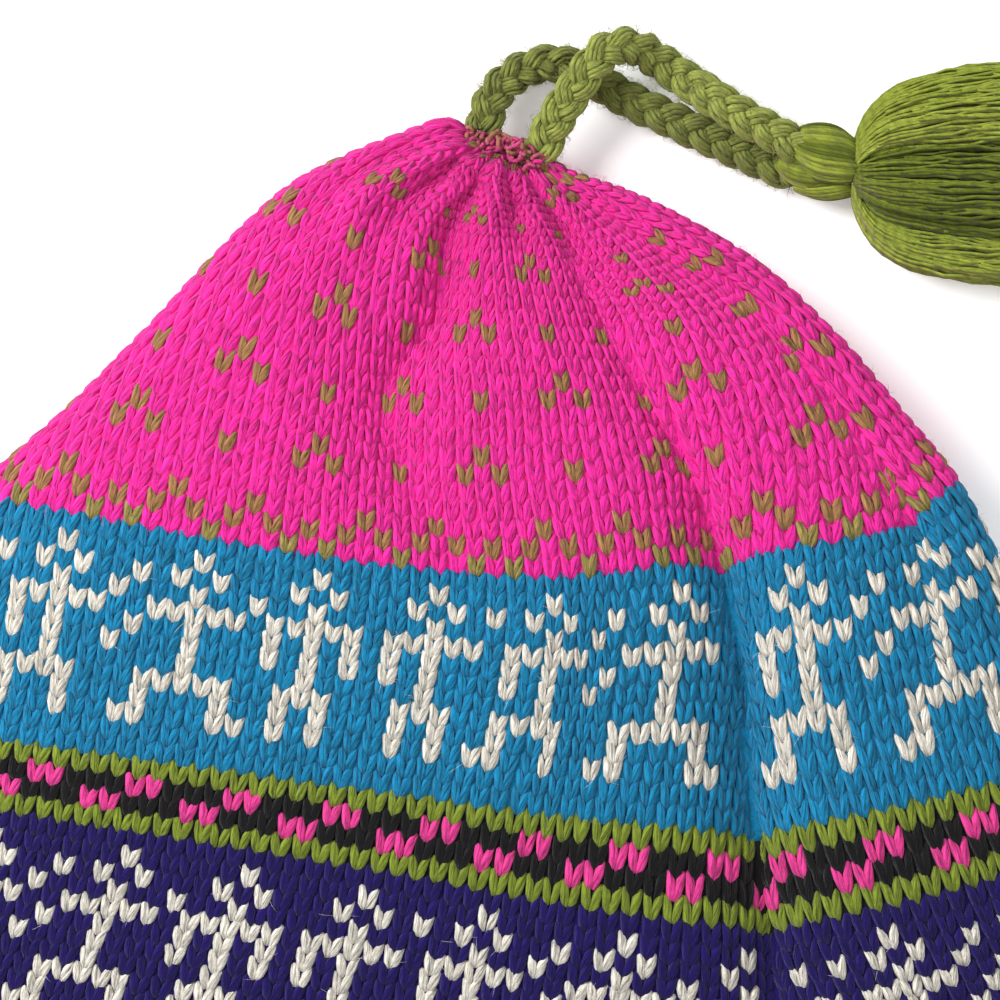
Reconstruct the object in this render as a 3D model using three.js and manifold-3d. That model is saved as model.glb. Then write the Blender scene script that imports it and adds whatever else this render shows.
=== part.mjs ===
// A knitted chullo hat lying on its back, with two plaited cords that end in one tassel.
// Millimetres, +Z up: the cap rests on z = 0, its crown towards +Y and its open mouth towards -Y.
import * as THREE from 'three';
import { mergeVertices } from 'three/addons/utils/BufferGeometryUtils.js';
import loadManifold from 'manifold-3d';

const manifold = await loadManifold();
manifold.setup();

// Driving dimensions
const WALL = 3; // thickness of the stranded knit, with its floats
const ROW_HEIGHT = 3.6; // one knitted row
const GAP = 0.4; // clearance between neighbouring pieces
const EDGE_LEVEL = 0.42; // height of the cap's side edges, as a share of its height there
const DOME_POWER = 0.75; // below 1 the front stands fuller towards its edges
const DIP_REACH = 0.5; // a fold's rows dip within this share of its reach
const BACK_POWER = 0.5; // how squarely the sides turn under to the back
const BACK_REACH = 1.25; // above 1 the back is pressed flat on the surface
const BACK_SAG = 0.3; // the back's rows sag by this share of the front's sag
const TOP_BULGE = 1.5; // how far the gathered top stands out of its last row
const TOP_FLAT = 0.6; // share of the gathered top that is flat
const PLAN_MIDDLE = [0.2, -1.75]; // middle of the cap's plan in the tables, which moves to the origin

// Rows are counted up from the crown's first row. Each section gives the line that its row takes over
// the front, as [x, y] at the left edge, the first fold, the ridge beside it, the second and third fold
// and the right edge, and the height of the cap there.
const SECTIONS = [
  { row: -34, height: 34, left: [-115, -86], fold1: [-20, -103],
    ridge: [23, -108.4], fold2: [61, -111], fold3: [90, -105], right: [115, -99] },
  { row: -30, height: 37, left: [-116, -72], fold1: [-19.4, -88.6],
    ridge: [23, -94.6], fold2: [60, -97.4], fold3: [90, -91], right: [116.4, -85] },
  { row: -17, height: 42, left: [-116, -27], fold1: [-17, -42.4],
    ridge: [22, -49.4], fold2: [57.4, -53], fold3: [90, -47], right: [116.6, -39.6] },
  { row: -13, height: 43, left: [-114.4, -13.6], fold1: [-16, -26.8],
    ridge: [21, -31.8], fold2: [55, -34], fold3: [90, -28], right: [115.6, -21.6] },
  { row: 0, height: 42, left: [-102, 32.4], fold1: [-4, 17.2],
    ridge: [12, 16.2], fold2: [48.4, 20.6], fold3: [86, 28.4], right: [95.6, 35.2] },
  { row: 5, height: 40, left: [-83.4, 49.2], fold1: [-14, 35],
    ridge: [10, 34.8], fold2: [42.4, 38.5], fold3: [75.5, 45.4], right: [84.5, 49.2] },
  { row: 10, height: 37, left: [-66.4, 66.2], fold1: [-18.6, 52.6],
    ridge: [8, 53], fold2: [32.6, 54], fold3: [62.5, 61.5], right: [71, 65] },
  { row: 15, height: 33, left: [-50.6, 83.2], fold1: [-8.6, 69.8],
    ridge: [6.4, 69.2], fold2: [23.2, 69.5], fold3: [49, 74], right: [55, 79.6] },
  { row: 20, height: 27, left: [-34.6, 97], fold1: [-6.8, 86.2],
    ridge: [5, 84], fold2: [17, 82.5], fold3: [31.4, 84.5], right: [34.6, 91.4] },
  { row: 25, height: 19, left: [-8, 108.4], fold1: [-5, 100],
    ridge: [3, 96.6], fold2: [11, 94], fold3: [15.6, 95], right: [17.4, 98] },
];
const LINE_COLUMNS = ['left', 'fold1', 'ridge', 'fold2', 'fold3', 'right'];

// At these rows: how deep each fold is pressed in, and how far its rows dip towards the mouth there.
// A sharpness of 1 is a crease, and 2 a rounded valley.
const FOLDS = [
  { column: 'fold1', reach: 9, sharpness: 1.35,
    rows: [-4, 3, 8, 15, 20, 25], depths: [0, 4, 7, 8, 7, 3], dips: [0, 0, 0, 0, 0, 0] },
  { column: 'fold2', reach: 9, sharpness: 1.1,
    rows: [-34, -20, -13, 0, 5, 10, 20, 25],
    depths: [4, 10, 13, 13, 10, 8, 6, 2.5], dips: [1, 2, 3, 4.6, 3, 1.5, 0.5, 0] },
  { column: 'fold3', reach: 8, sharpness: 1.2,
    rows: [-10, 0, 5, 8, 18, 25], depths: [0, 6, 7, 7, 6.5, 2.5], dips: [0, 4, 2.4, 1.5, 0.5, 0] },
];

// How many facets each stretch of a ring has: the five stretches of the front, then the back.
const FRONT_FACETS = [9, 4, 5, 6, 5];
const BACK_FACETS = 18;

const BANDS = [
  { name: 'hem', from: -34, to: -30, steps: 2, colour: 0x32206e },
  { name: 'purple_figure_band', from: -30, to: -17, steps: 4, colour: 0x321e6e },
  { name: 'stripe_band', from: -17, to: -13, steps: 2, colour: 0x82962d },
  { name: 'blue_figure_band', from: -13, to: 0, steps: 4, colour: 0x1487be },
];
const CROWN = { name: 'crown', from: 0, to: 25, steps: 10, colour: 0xf01e96 };

const CORD_DIAMETER = 7.4;
const CORD_SIDES = 10;
const CORD_STEP = 4.2; // length of one facet along a cord
const GREEN = 0x738c3c;
const CORD_RADIUS = CORD_DIAMETER / 2;

// Routes from the gathered top, along the surface, to the knot. The right cord crosses over the left.
const CORD_LEFT_ROUTE = [
  [0.5, 106.2, 9], [1.6, 111, 8.3], [4.2, 115.6, 6.4], [8.2, 118.8, 4.6], [13, 120.4, CORD_RADIUS],
  [17.8, 120, CORD_RADIUS], [22, 118, CORD_RADIUS], [26.4, 115.2, CORD_RADIUS], [31.2, 112.6, CORD_RADIUS],
  [36.6, 110, CORD_RADIUS], [42, 107.5, CORD_RADIUS], [48, 104.8, CORD_RADIUS], [55.4, 101.4, CORD_RADIUS],
  [63.8, 97.7, CORD_RADIUS],
];
const CORD_RIGHT_ROUTE = [
  [11.9, 100.8, 9.4], [14, 106.6, 10.2], [17.2, 112, 11.4], [20, 116.2, 12.2], [22.6, 120, 12.2],
  [26, 123, 10.8], [30, 123.8, 8.4], [34.2, 122.2, 5.4], [38, 119.6, 3.9], [42, 116.8, 4.3],
  [45.6, 114.4, 6.6], [48, 112.7, 7.9], [52, 110, 9.1], [58.2, 106.6, 9.8], [65, 102.9, 9.8],
];

// The tassel lies along +X from its tied neck.
const KNOT_CENTRE = [70.4, 100.2, 6.8];
const KNOT_HALF_SIZES = [5.4, 7, 6.4];
const NECK_CENTRE = [75.4, 98, 6.4];
const NECK_RADIUS = 5.2;
const SKIRT_LENGTH = 90;
const SKIRT_HALF_WIDTH = 18; // to the middle of its outermost locks
const SKIRT_DROP = 1.2; // the skirt's axis runs this far towards -Y
const FLARE = 0.07; // share of the length in which the yarn bulges out of the neck
const LOCK_SIDES = 8;
const LOCKS = [
  { across: -1, level: 6, length: 0.97 },
  { across: -0.5, level: 6.5, length: 1 },
  { across: 0, level: 6, length: 0.98 },
  { across: 0.5, level: 6.5, length: 1 },
  { across: 1, level: 6, length: 0.96 },
  { across: -0.68, level: 13, length: 0.95 },
  { across: -0.22, level: 15, length: 0.99 },
  { across: 0.24, level: 15, length: 0.96 },
  { across: 0.7, level: 13, length: 0.98 },
];
// A lock's radius along its length.
const LOCK_STATIONS = [0, 0.07, 0.2, 0.4, 0.65, 0.88, 1];
const LOCK_RADII = [3.2, 5.4, 6.6, 7, 7, 6.4, 4.6];
const LOCK_TIP = 2.5; // how far the rounded end stands past the last section

// Cubic curve through values at uneven knots, with the slope at each knot taken from both neighbours.
function smooth(knots, values, at) {
  const last = knots.length - 1;
  let i = 0;
  while (i < last - 1 && at > knots[i + 1]) i += 1;
  const secant = (j) => (values[j + 1] - values[j]) / (knots[j + 1] - knots[j]);
  const slope = (j) => {
    if (j === 0) return secant(0);
    if (j === last) return secant(last - 1);
    const before = knots[j] - knots[j - 1];
    const after = knots[j + 1] - knots[j];
    return (secant(j - 1) * after + secant(j) * before) / (before + after);
  };
  const span = knots[i + 1] - knots[i];
  const t = (at - knots[i]) / span;
  const startWeight = (1 + 2 * t) * (1 - t) ** 2;
  const startSlope = t * (1 - t) ** 2 * span;
  const endSlope = t ** 2 * (t - 1) * span;
  return startWeight * values[i] + (1 - startWeight) * values[i + 1]
    + startSlope * slope(i) + endSlope * slope(i + 1);
}

// Straight interpolation that stays at its end values outside the knots.
function straight(knots, values, at) {
  const i = knots.findIndex((knot) => knot >= at);
  if (i === 0) return values[0];
  if (i < 0) return values[values.length - 1];
  const t = (at - knots[i - 1]) / (knots[i] - knots[i - 1]);
  return values[i - 1] + (values[i] - values[i - 1]) * t;
}

// One row of the cap: its line over the front, where along that line each column lies, and its height.
function rowAt(row) {
  const rows = SECTIONS.map((section) => section.row);
  const column = (name, axis) => smooth(rows, SECTIONS.map((section) => section[name][axis]), row);
  const xs = LINE_COLUMNS.map((name) => column(name, 0));
  const ys = LINE_COLUMNS.map((name) => column(name, 1));
  const along = [0];
  for (let i = 1; i < xs.length; i += 1) {
    along.push(along[i - 1] + Math.hypot(xs[i] - xs[i - 1], ys[i] - ys[i - 1]));
  }
  const length = along[along.length - 1];
  const height = smooth(rows, SECTIONS.map((section) => section.height), row);
  return { row, xs, ys, length, height, knots: along.map((distance) => distance / length) };
}

// Point of the front at the share `across` of its row: the row's line, domed and pressed in at the folds.
function frontPoint(line, across) {
  const dome = Math.max(0, 4 * across * (1 - across)) ** (DOME_POWER / 2);
  const edge = EDGE_LEVEL * line.height;
  const x = smooth(line.knots, line.xs, across);
  let y = smooth(line.knots, line.ys, across);
  let z = edge + (line.height - edge) * dome;
  for (const fold of FOLDS) {
    const away = Math.abs(across - line.knots[LINE_COLUMNS.indexOf(fold.column)]) * line.length;
    const shareWithin = (reach) => dome * Math.exp(-((away / reach) ** fold.sharpness));
    z -= shareWithin(fold.reach) * straight(fold.rows, fold.depths, line.row);
    y -= shareWithin(fold.reach * DIP_REACH) * straight(fold.rows, fold.dips, line.row);
  }
  return new THREE.Vector3(x, y, z);
}

// Point of the back: a straighter row that turns under at the sides and is pressed flat on the surface.
function backPoint(line, across) {
  const chord = (values) => values[0] + (values[values.length - 1] - values[0]) * across;
  const sag = chord(line.ys) - smooth(line.knots, line.ys, across);
  const turn = Math.max(0, 4 * across * (1 - across)) ** (BACK_POWER / 2);
  const z = EDGE_LEVEL * line.height * Math.max(0, 1 - BACK_REACH * turn);
  return new THREE.Vector3(chord(line.xs), chord(line.ys) - BACK_SAG * sag, z);
}

// Shares across the front where a ring has its corners, closer at the two edges where it turns under.
function frontShares(line) {
  const shares = [];
  FRONT_FACETS.forEach((facets, stretch) => {
    const from = line.knots[stretch];
    const to = line.knots[stretch + 1];
    for (let i = 0; i < facets; i += 1) {
      const t = i / facets;
      let eased = t;
      if (stretch === 0) eased = 1 - Math.cos((t * Math.PI) / 2);
      if (stretch === FRONT_FACETS.length - 1) eased = Math.sin((t * Math.PI) / 2);
      shares.push(from + (to - from) * eased);
    }
  });
  return shares;
}

// One closed ring of the cap's outside: over the front from left to right, then under the back.
function ringAt(row) {
  const line = rowAt(row);
  const ring = frontShares(line).map((share) => frontPoint(line, share));
  for (let i = 0; i < BACK_FACETS; i += 1) {
    ring.push(backPoint(line, (1 + Math.cos((i * Math.PI) / BACK_FACETS)) / 2));
  }
  return ring;
}

// The ring that lies one wall thickness inside the ring at this row.
function innerRingAt(row) {
  const ring = ringAt(row);
  const below = ringAt(row - 0.5);
  const above = ringAt(row + 0.5);
  return ring.map((point, i) => {
    const next = ring[(i + 1) % ring.length];
    const previous = ring[(i + ring.length - 1) % ring.length];
    const round = next.clone().sub(previous);
    const inward = above[i].clone().sub(below[i]).cross(round).normalize();
    return point.clone().addScaledVector(inward, WALL);
  });
}

// Closed mesh from a stack of rings with equal numbers of corners, each quad split along its shorter
// diagonal. Each end is a fan to its pole, or, with no poles, the last ring joins the first.
function meshFromRings(rings, firstPole, lastPole) {
  const corners = rings[0].length;
  const points = rings.flat();
  const faces = [];
  const stretches = firstPole ? rings.length - 1 : rings.length;
  for (let r = 0; r < stretches; r += 1) {
    const lower = r * corners;
    const upper = ((r + 1) % rings.length) * corners;
    for (let c = 0; c < corners; c += 1) {
      const n = (c + 1) % corners;
      const rising = points[lower + c].distanceTo(points[upper + n]);
      const falling = points[lower + n].distanceTo(points[upper + c]);
      if (rising < falling) {
        faces.push(lower + c, lower + n, upper + n, lower + c, upper + n, upper + c);
      } else {
        faces.push(lower + c, lower + n, upper + c, lower + n, upper + n, upper + c);
      }
    }
  }
  if (firstPole) {
    const last = (rings.length - 1) * corners;
    points.push(firstPole, lastPole);
    for (let c = 0; c < corners; c += 1) {
      const n = (c + 1) % corners;
      faces.push(n, c, points.length - 2, last + c, last + n, points.length - 1);
    }
  }
  const geometry = new THREE.BufferGeometry().setFromPoints(points);
  geometry.setIndex(faces);
  geometry.computeVertexNormals();
  return geometry;
}

function rowsOf(piece) {
  const inset = GAP / 2 / ROW_HEIGHT;
  const from = piece.from + inset;
  const to = piece.to - inset;
  return Array.from({ length: piece.steps + 1 }, (_, i) => from + ((to - from) * i) / piece.steps);
}

function bandGeometry(band) {
  const rows = rowsOf(band);
  const outside = rows.map(ringAt);
  const inside = rows.map(innerRingAt).reverse();
  return meshFromRings([...outside, ...inside]);
}

// Direction in which the cap's gathered top faces, in plan.
function topDirection() {
  const { left, right } = SECTIONS[SECTIONS.length - 1];
  return new THREE.Vector3(left[1] - right[1], right[0] - left[0], 0).normalize();
}

// The end of a ring of the crown: a smaller ring and a pole, both standing out by the same bulge.
function gatheredEnd(ring, bulge) {
  const middle = ring.reduce((sum, point) => sum.add(point), new THREE.Vector3()).divideScalar(ring.length);
  const pole = middle.clone().addScaledVector(topDirection(), bulge);
  const flat = ring.map((point) => point.clone().lerp(middle, 1 - TOP_FLAT)
    .addScaledVector(topDirection(), bulge));
  return { pole, flat };
}

function crownGeometry() {
  const rows = rowsOf(CROWN);
  const outside = rows.map(ringAt);
  const inside = rows.map(innerRingAt);
  const outerEnd = gatheredEnd(outside[outside.length - 1], TOP_BULGE);
  const innerEnd = gatheredEnd(inside[inside.length - 2], TOP_BULGE);
  const lining = [...inside.slice(0, -1), innerEnd.flat].reverse();
  return meshFromRings([...lining, ...outside, outerEnd.flat], innerEnd.pole, outerEnd.pole);
}

function cordGeometry(route) {
  const path = new THREE.CatmullRomCurve3(route.map((point) => new THREE.Vector3(...point)));
  const outline = new THREE.Shape();
  outline.absarc(0, 0, CORD_RADIUS, 0, 2 * Math.PI);
  return new THREE.ExtrudeGeometry(outline, {
    steps: Math.ceil(path.getLength() / CORD_STEP),
    curveSegments: CORD_SIDES,
    extrudePath: path,
    bevelEnabled: false,
  });
}

// A lock of the skirt: round sections along a line that bulges out of the neck and then runs along +X.
function lockGeometry(lock) {
  const [neckX, neckY, neckZ] = NECK_CENTRE;
  const length = SKIRT_LENGTH * lock.length;
  const middleAt = (station) => {
    const out = 1 - Math.exp(-station / FLARE);
    const spread = 0.72 + 0.28 * station;
    return new THREE.Vector3(
      neckX + length * station,
      neckY + lock.across * SKIRT_HALF_WIDTH * spread * out - SKIRT_DROP * station,
      neckZ + (lock.level - neckZ) * out * (1 - 0.25 * station),
    );
  };
  const rings = LOCK_STATIONS.map((station, i) => {
    const middle = middleAt(station);
    return Array.from({ length: LOCK_SIDES }, (_, side) => {
      const angle = (-2 * Math.PI * side) / LOCK_SIDES;
      const round = new THREE.Vector3(0, Math.sin(angle), Math.cos(angle));
      return middle.clone().addScaledVector(round, LOCK_RADII[i]);
    });
  });
  const tip = middleAt(1).add(new THREE.Vector3(LOCK_TIP, 0, 0));
  return meshFromRings(rings, middleAt(0), tip);
}

// Solid for cutting and joining, from a closed geometry with its shared corners merged.
function solidFrom(geometry) {
  const bare = new THREE.BufferGeometry();
  bare.setAttribute('position', geometry.getAttribute('position'));
  bare.setIndex(geometry.getIndex());
  const merged = mergeVertices(bare, 1e-4);
  return new manifold.Manifold(new manifold.Mesh({
    numProp: 3,
    vertProperties: new Float32Array(merged.getAttribute('position').array),
    triVerts: new Uint32Array(merged.getIndex().array),
  }));
}

function geometryFrom(solid) {
  const { vertProperties, triVerts } = solid.getMesh();
  const geometry = new THREE.BufferGeometry();
  geometry.setAttribute('position', new THREE.BufferAttribute(new Float32Array(vertProperties), 3));
  geometry.setIndex(new THREE.BufferAttribute(new Uint32Array(triVerts), 1));
  geometry.computeVertexNormals();
  return geometry;
}

// The knot, the neck and the skirt's locks in one body, cut off level where it lies on the surface.
function tasselGeometry() {
  const knot = new THREE.SphereGeometry(1, 16, 10).scale(...KNOT_HALF_SIZES).translate(...KNOT_CENTRE);
  const neck = new THREE.SphereGeometry(NECK_RADIUS, 12, 8).translate(...NECK_CENTRE);
  const under = new THREE.BoxGeometry(2 * SKIRT_LENGTH, SKIRT_LENGTH, SKIRT_LENGTH)
    .translate(NECK_CENTRE[0] + SKIRT_LENGTH / 2, NECK_CENTRE[1], -SKIRT_LENGTH / 2);
  const joined = LOCKS.map((lock) => solidFrom(lockGeometry(lock)))
    .reduce((whole, lock) => whole.add(lock), solidFrom(knot).add(solidFrom(neck)));
  return geometryFrom(joined.subtract(solidFrom(under)));
}

function yarnMesh(name, geometry, color) {
  const material = new THREE.MeshStandardMaterial({ color, roughness: 0.95, metalness: 0 });
  const mesh = new THREE.Mesh(geometry, material);
  mesh.name = name;
  mesh.geometry.translate(-PLAN_MIDDLE[0], -PLAN_MIDDLE[1], 0);
  return mesh;
}

const hat = new THREE.Group();
for (const band of BANDS) hat.add(yarnMesh(band.name, bandGeometry(band), band.colour));
hat.add(yarnMesh(CROWN.name, crownGeometry(), CROWN.colour));
hat.add(yarnMesh('cord_left', cordGeometry(CORD_LEFT_ROUTE), GREEN));
hat.add(yarnMesh('cord_right', cordGeometry(CORD_RIGHT_ROUTE), GREEN));
hat.add(yarnMesh('tassel', tasselGeometry(), GREEN));

export default hat;
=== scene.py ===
# %% [markdown]
# A knitted chullo hat lies on a pale table, seen from straight above. The solids of the hat are loaded
# first, as a fixed frame. Everything that follows is real yarn laid over that frame: stitches, plaits
# and the loose ends of a tassel. All shapes are worked out with numpy in millimetres, and turned into
# metres when they become meshes.

# %% Load the frame and keep its box
from collections import namedtuple
import bpy
import numpy as np
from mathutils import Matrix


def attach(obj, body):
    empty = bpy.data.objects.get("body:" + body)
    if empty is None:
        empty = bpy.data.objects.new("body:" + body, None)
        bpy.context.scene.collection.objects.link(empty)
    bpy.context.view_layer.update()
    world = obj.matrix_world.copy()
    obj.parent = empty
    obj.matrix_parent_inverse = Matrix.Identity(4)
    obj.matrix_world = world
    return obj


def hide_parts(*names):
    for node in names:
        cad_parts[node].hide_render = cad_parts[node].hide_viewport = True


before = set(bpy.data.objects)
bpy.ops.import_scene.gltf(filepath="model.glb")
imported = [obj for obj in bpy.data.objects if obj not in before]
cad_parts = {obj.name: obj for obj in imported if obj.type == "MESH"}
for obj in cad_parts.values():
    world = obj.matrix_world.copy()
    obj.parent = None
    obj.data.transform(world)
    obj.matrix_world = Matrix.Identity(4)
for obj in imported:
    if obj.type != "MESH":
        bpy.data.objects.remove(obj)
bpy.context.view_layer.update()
MM = 0.001
PLAN_MIDDLE = np.array([0.2, -1.75, 0.0])  # the tables' point that lies at the frame's origin
print("frame nodes:", sorted(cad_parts))

# %% [markdown]
# The camera looks straight down from far away, so the picture keeps the plan's proportions. The photo
# shows 200 mm of the hat across, which fixes the lens once the distance is chosen. The view transform
# is the plain one, because a filmic one would wash out the hot pink.

# %% Camera
PHOTO_WIDTH = 200.0  # mm of the hat across the photo
PHOTO_CENTRE = np.array([4.0, 32.0, 24.0])  # the photo's centre, at the usual height of the front
CAMERA_DISTANCE = 1600.0
SENSOR_WIDTH = 36.0

lens = SENSOR_WIDTH * CAMERA_DISTANCE / PHOTO_WIDTH
camera_data = bpy.data.cameras.new("camera")
camera_data.sensor_width = SENSOR_WIDTH
camera_data.lens = lens
camera_data.clip_end = 10.0
camera = bpy.data.objects.new("camera", camera_data)
camera.location = (PHOTO_CENTRE - PLAN_MIDDLE + [0.0, 0.0, CAMERA_DISTANCE]) * MM
bpy.context.collection.objects.link(camera)
bpy.context.scene.camera = camera
bpy.context.scene.view_settings.view_transform = "Standard"
print("camera lens:", round(lens, 1), "mm")

# %% [markdown]
# Every piece becomes a mesh in the same way, from whole arrays: points, faces, and where wanted a
# colour for each point and a pair of UV maps. The map called yarn runs along and around a strand, and
# materials read it. The map called OFBake gives every strand its own cell of a picture, for exporters
# that turn a material into an image.

# %% Mesh helpers
def new_piece(name, points, quads, triangles=None, colours=None, yarn_uv=None, bake_uv=None):
    """Object at the origin from points in mm, quads and triangles by point number, point colours with a
    seed as their fourth value, and UVs for each face corner, quads first."""
    points = (np.asarray(points, float) - PLAN_MIDDLE) * MM
    quads = np.asarray(quads, np.int32).reshape(-1, 4)
    triangles = np.zeros((0, 3), np.int32) if triangles is None else np.asarray(triangles, np.int32)
    corners = np.concatenate([quads.ravel(), triangles.ravel()])
    sizes = np.concatenate([np.full(len(quads), 4), np.full(len(triangles), 3)]).astype(np.int32)
    mesh = bpy.data.meshes.new(name)
    mesh.vertices.add(len(points))
    mesh.vertices.foreach_set("co", points.astype(np.float32).ravel())
    mesh.loops.add(len(corners))
    mesh.loops.foreach_set("vertex_index", corners)
    mesh.polygons.add(len(sizes))
    mesh.polygons.foreach_set("loop_start", np.concatenate([[0], np.cumsum(sizes)[:-1]]).astype(np.int32))
    mesh.polygons.foreach_set("use_smooth", np.ones(len(sizes), bool))
    mesh.update(calc_edges=True)
    if colours is not None:
        attribute = mesh.color_attributes.new("yarn_colour", "FLOAT_COLOR", "POINT")
        attribute.data.foreach_set("color", colours.astype(np.float32).ravel())
    for uv_name, uv in (("yarn", yarn_uv), ("OFBake", bake_uv)):
        if uv is not None:
            layer = mesh.uv_layers.new(name=uv_name)
            layer.data.foreach_set("uv", np.asarray(uv, np.float32).ravel())
    mesh.validate()
    piece = bpy.data.objects.new(name, mesh)
    bpy.context.collection.objects.link(piece)
    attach(piece, "root")
    return piece


def grid_quads(rows, columns, closed):
    """Quads of a grid of points numbered row by row; closed joins the last column to the first."""
    wide = columns if closed else columns - 1
    r, c = np.meshgrid(np.arange(rows - 1), np.arange(wide), indexing="ij")
    low = r * columns + c
    beside = r * columns + (c + 1) % columns
    return np.stack([low, beside, beside + columns, low + columns], axis=-1).reshape(-1, 4)


def srgb(red, green, blue):
    """Linear colour of an sRGB colour given as 0 to 255."""
    value = np.array([red, green, blue]) / 255.0
    return np.where(value <= 0.04045, value / 12.92, ((value + 0.055) / 1.055) ** 2.4)


def unit(vectors):
    """Vectors divided by their lengths."""
    return vectors / np.maximum(np.linalg.norm(vectors, axis=-1, keepdims=True), 1e-9)


UP = np.array([0.0, 0.0, 1.0])


def directions(lines):
    """Unit vectors ahead along lines of points, level across them, and square to both."""
    ahead = unit(np.gradient(lines, axis=-2))
    side = unit(np.cross(ahead, UP))
    return ahead, side, np.cross(side, ahead)


print("helpers ready")

# %% [markdown]
# A strand of yarn is a round section carried along a line. A curve with a bevel could give the same, but
# with numpy thousands of strands are made at once, and each has UVs of its own. The section needs two
# directions across the line at every point: the upward direction, made square to the line, gives the
# first, and a cross product the second.

# %% Tubes of yarn
BAKE_MARGIN = 0.08  # share of its cell that a strand leaves free on each side


def tube_faces(stations, sides, turned=False):
    """Faces of a closed tube by point number, with UVs along and round it for their corners. Its points are
    a ring at each station and then a pole for either end. Turned is for rings that run the other way."""
    steps = len(stations)
    quads = grid_quads(steps, sides, True)
    around = np.arange(sides)
    following = (around + 1) % sides
    last = (steps - 1) * sides
    pole = np.full(sides, steps * sides)
    triangles = np.concatenate([np.stack([following, around, pole], axis=1),
                                np.stack([last + around, last + following, pole + 1], axis=1)])
    r, c = np.meshgrid(np.arange(steps - 1), around, indexing="ij")
    quad_u = stations[np.stack([r, r, r + 1, r + 1], axis=-1)]
    quad_v = np.stack([c, c + 1, c + 1, c], axis=-1) / sides
    quad_uv = np.stack([quad_u, quad_v], axis=-1).reshape(-1, 4, 2)
    first_u, last_u = stations[0], stations[-1]
    cap_u = np.repeat([[first_u, first_u, 0.0], [last_u, last_u, 1.0]], sides, axis=0)
    cap_v = np.concatenate([np.stack([around + 1, around, around + 0.5], axis=1),
                            np.stack([around, around + 1, around + 0.5], axis=1)]) / sides
    cap_uv = np.stack([cap_u, cap_v], axis=-1)
    if turned:
        quads, quad_uv = quads[:, ::-1], quad_uv[:, ::-1]
        triangles, cap_uv = triangles[:, [1, 0, 2]], cap_uv[:, [1, 0, 2]]
    return quads, triangles, np.concatenate([quad_uv.reshape(-1, 2), cap_uv.reshape(-1, 2)])


def tubes(lines, radii, sides):
    """Points, faces and UVs of closed tubes along lines (tube, step, xyz) with radii (tube, step): each
    section is the line's point plus radius times (cos, sin) of the angle on two directions square to it."""
    count, steps, _ = lines.shape
    _, side, up = directions(lines)
    angle = 2 * np.pi * np.arange(sides) / sides
    section = side[:, :, None] * np.cos(angle)[:, None] + up[:, :, None] * np.sin(angle)[:, None]
    rings = lines[:, :, None] + radii[:, :, None, None] * section
    ends = np.stack([lines[:, 0], lines[:, -1]], axis=1)
    points = np.concatenate([rings.reshape(count, steps * sides, 3), ends], axis=1)
    return points, *tube_faces(np.linspace(0.0, 1.0, steps), sides)


def repeat_shape(count, points_each, quads, triangles, uv):
    """Faces and UVs of many copies of one numbering: each copy's faces start at its own points, and its
    bake cell is one square of a grid that holds them all."""
    start = (np.arange(count) * points_each)[:, None, None]
    across = int(np.ceil(np.sqrt(count)))
    cell = np.stack([np.arange(count) % across, np.arange(count) // across], axis=1)
    inside = BAKE_MARGIN + (1 - 2 * BAKE_MARGIN) * uv
    bake = (cell[:, None] + inside[None]) / across
    yarn = np.broadcast_to(uv, (count, *uv.shape))

    def quads_first(block):
        return np.concatenate([block[:, :quads.size].reshape(-1, 2), block[:, quads.size:].reshape(-1, 2)])

    all_quads = (quads[None] + start).reshape(-1, 4)
    all_triangles = (triangles[None] + start).reshape(-1, 3)
    return all_quads, all_triangles, quads_first(yarn), quads_first(bake)


print("tube helpers ready")

# %% [markdown]
# Wool is matt and soft. A yarn's plies wind round it, and its fibres show as fine streaks that follow the
# plies. A photographed texture could show them, but it would repeat, and nodes don't. Both are made from
# the yarn UV map, so they run along every strand, and each strand's own seed shifts its streaks. The
# grooves between the plies are darker as painted shade, and the streaks are partly the fibres' own tone
# and partly painted highlight. They are one node group that every yarn material uses with its own values.

# %% Wool node group
SEED_SPREAD = 97.0  # sets the streaks of two strands far apart
PLY_HEIGHT, FIBRE_HEIGHT = 0.5, 1.6
# Painted light: the colour is lighter on the plies' crests and darker in their grooves as painted shade,
# and the fibre streaks are partly the fibres' own tone and partly painted highlight.
PLY_PAINTED_SHADE, FIBRE_TONE_AND_HIGHLIGHT, MEAN_LIGHT = 0.3, 2.2, 1.3
DARKEST_STREAK = 0.2  # share of the yarn's colour that is always left


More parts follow.
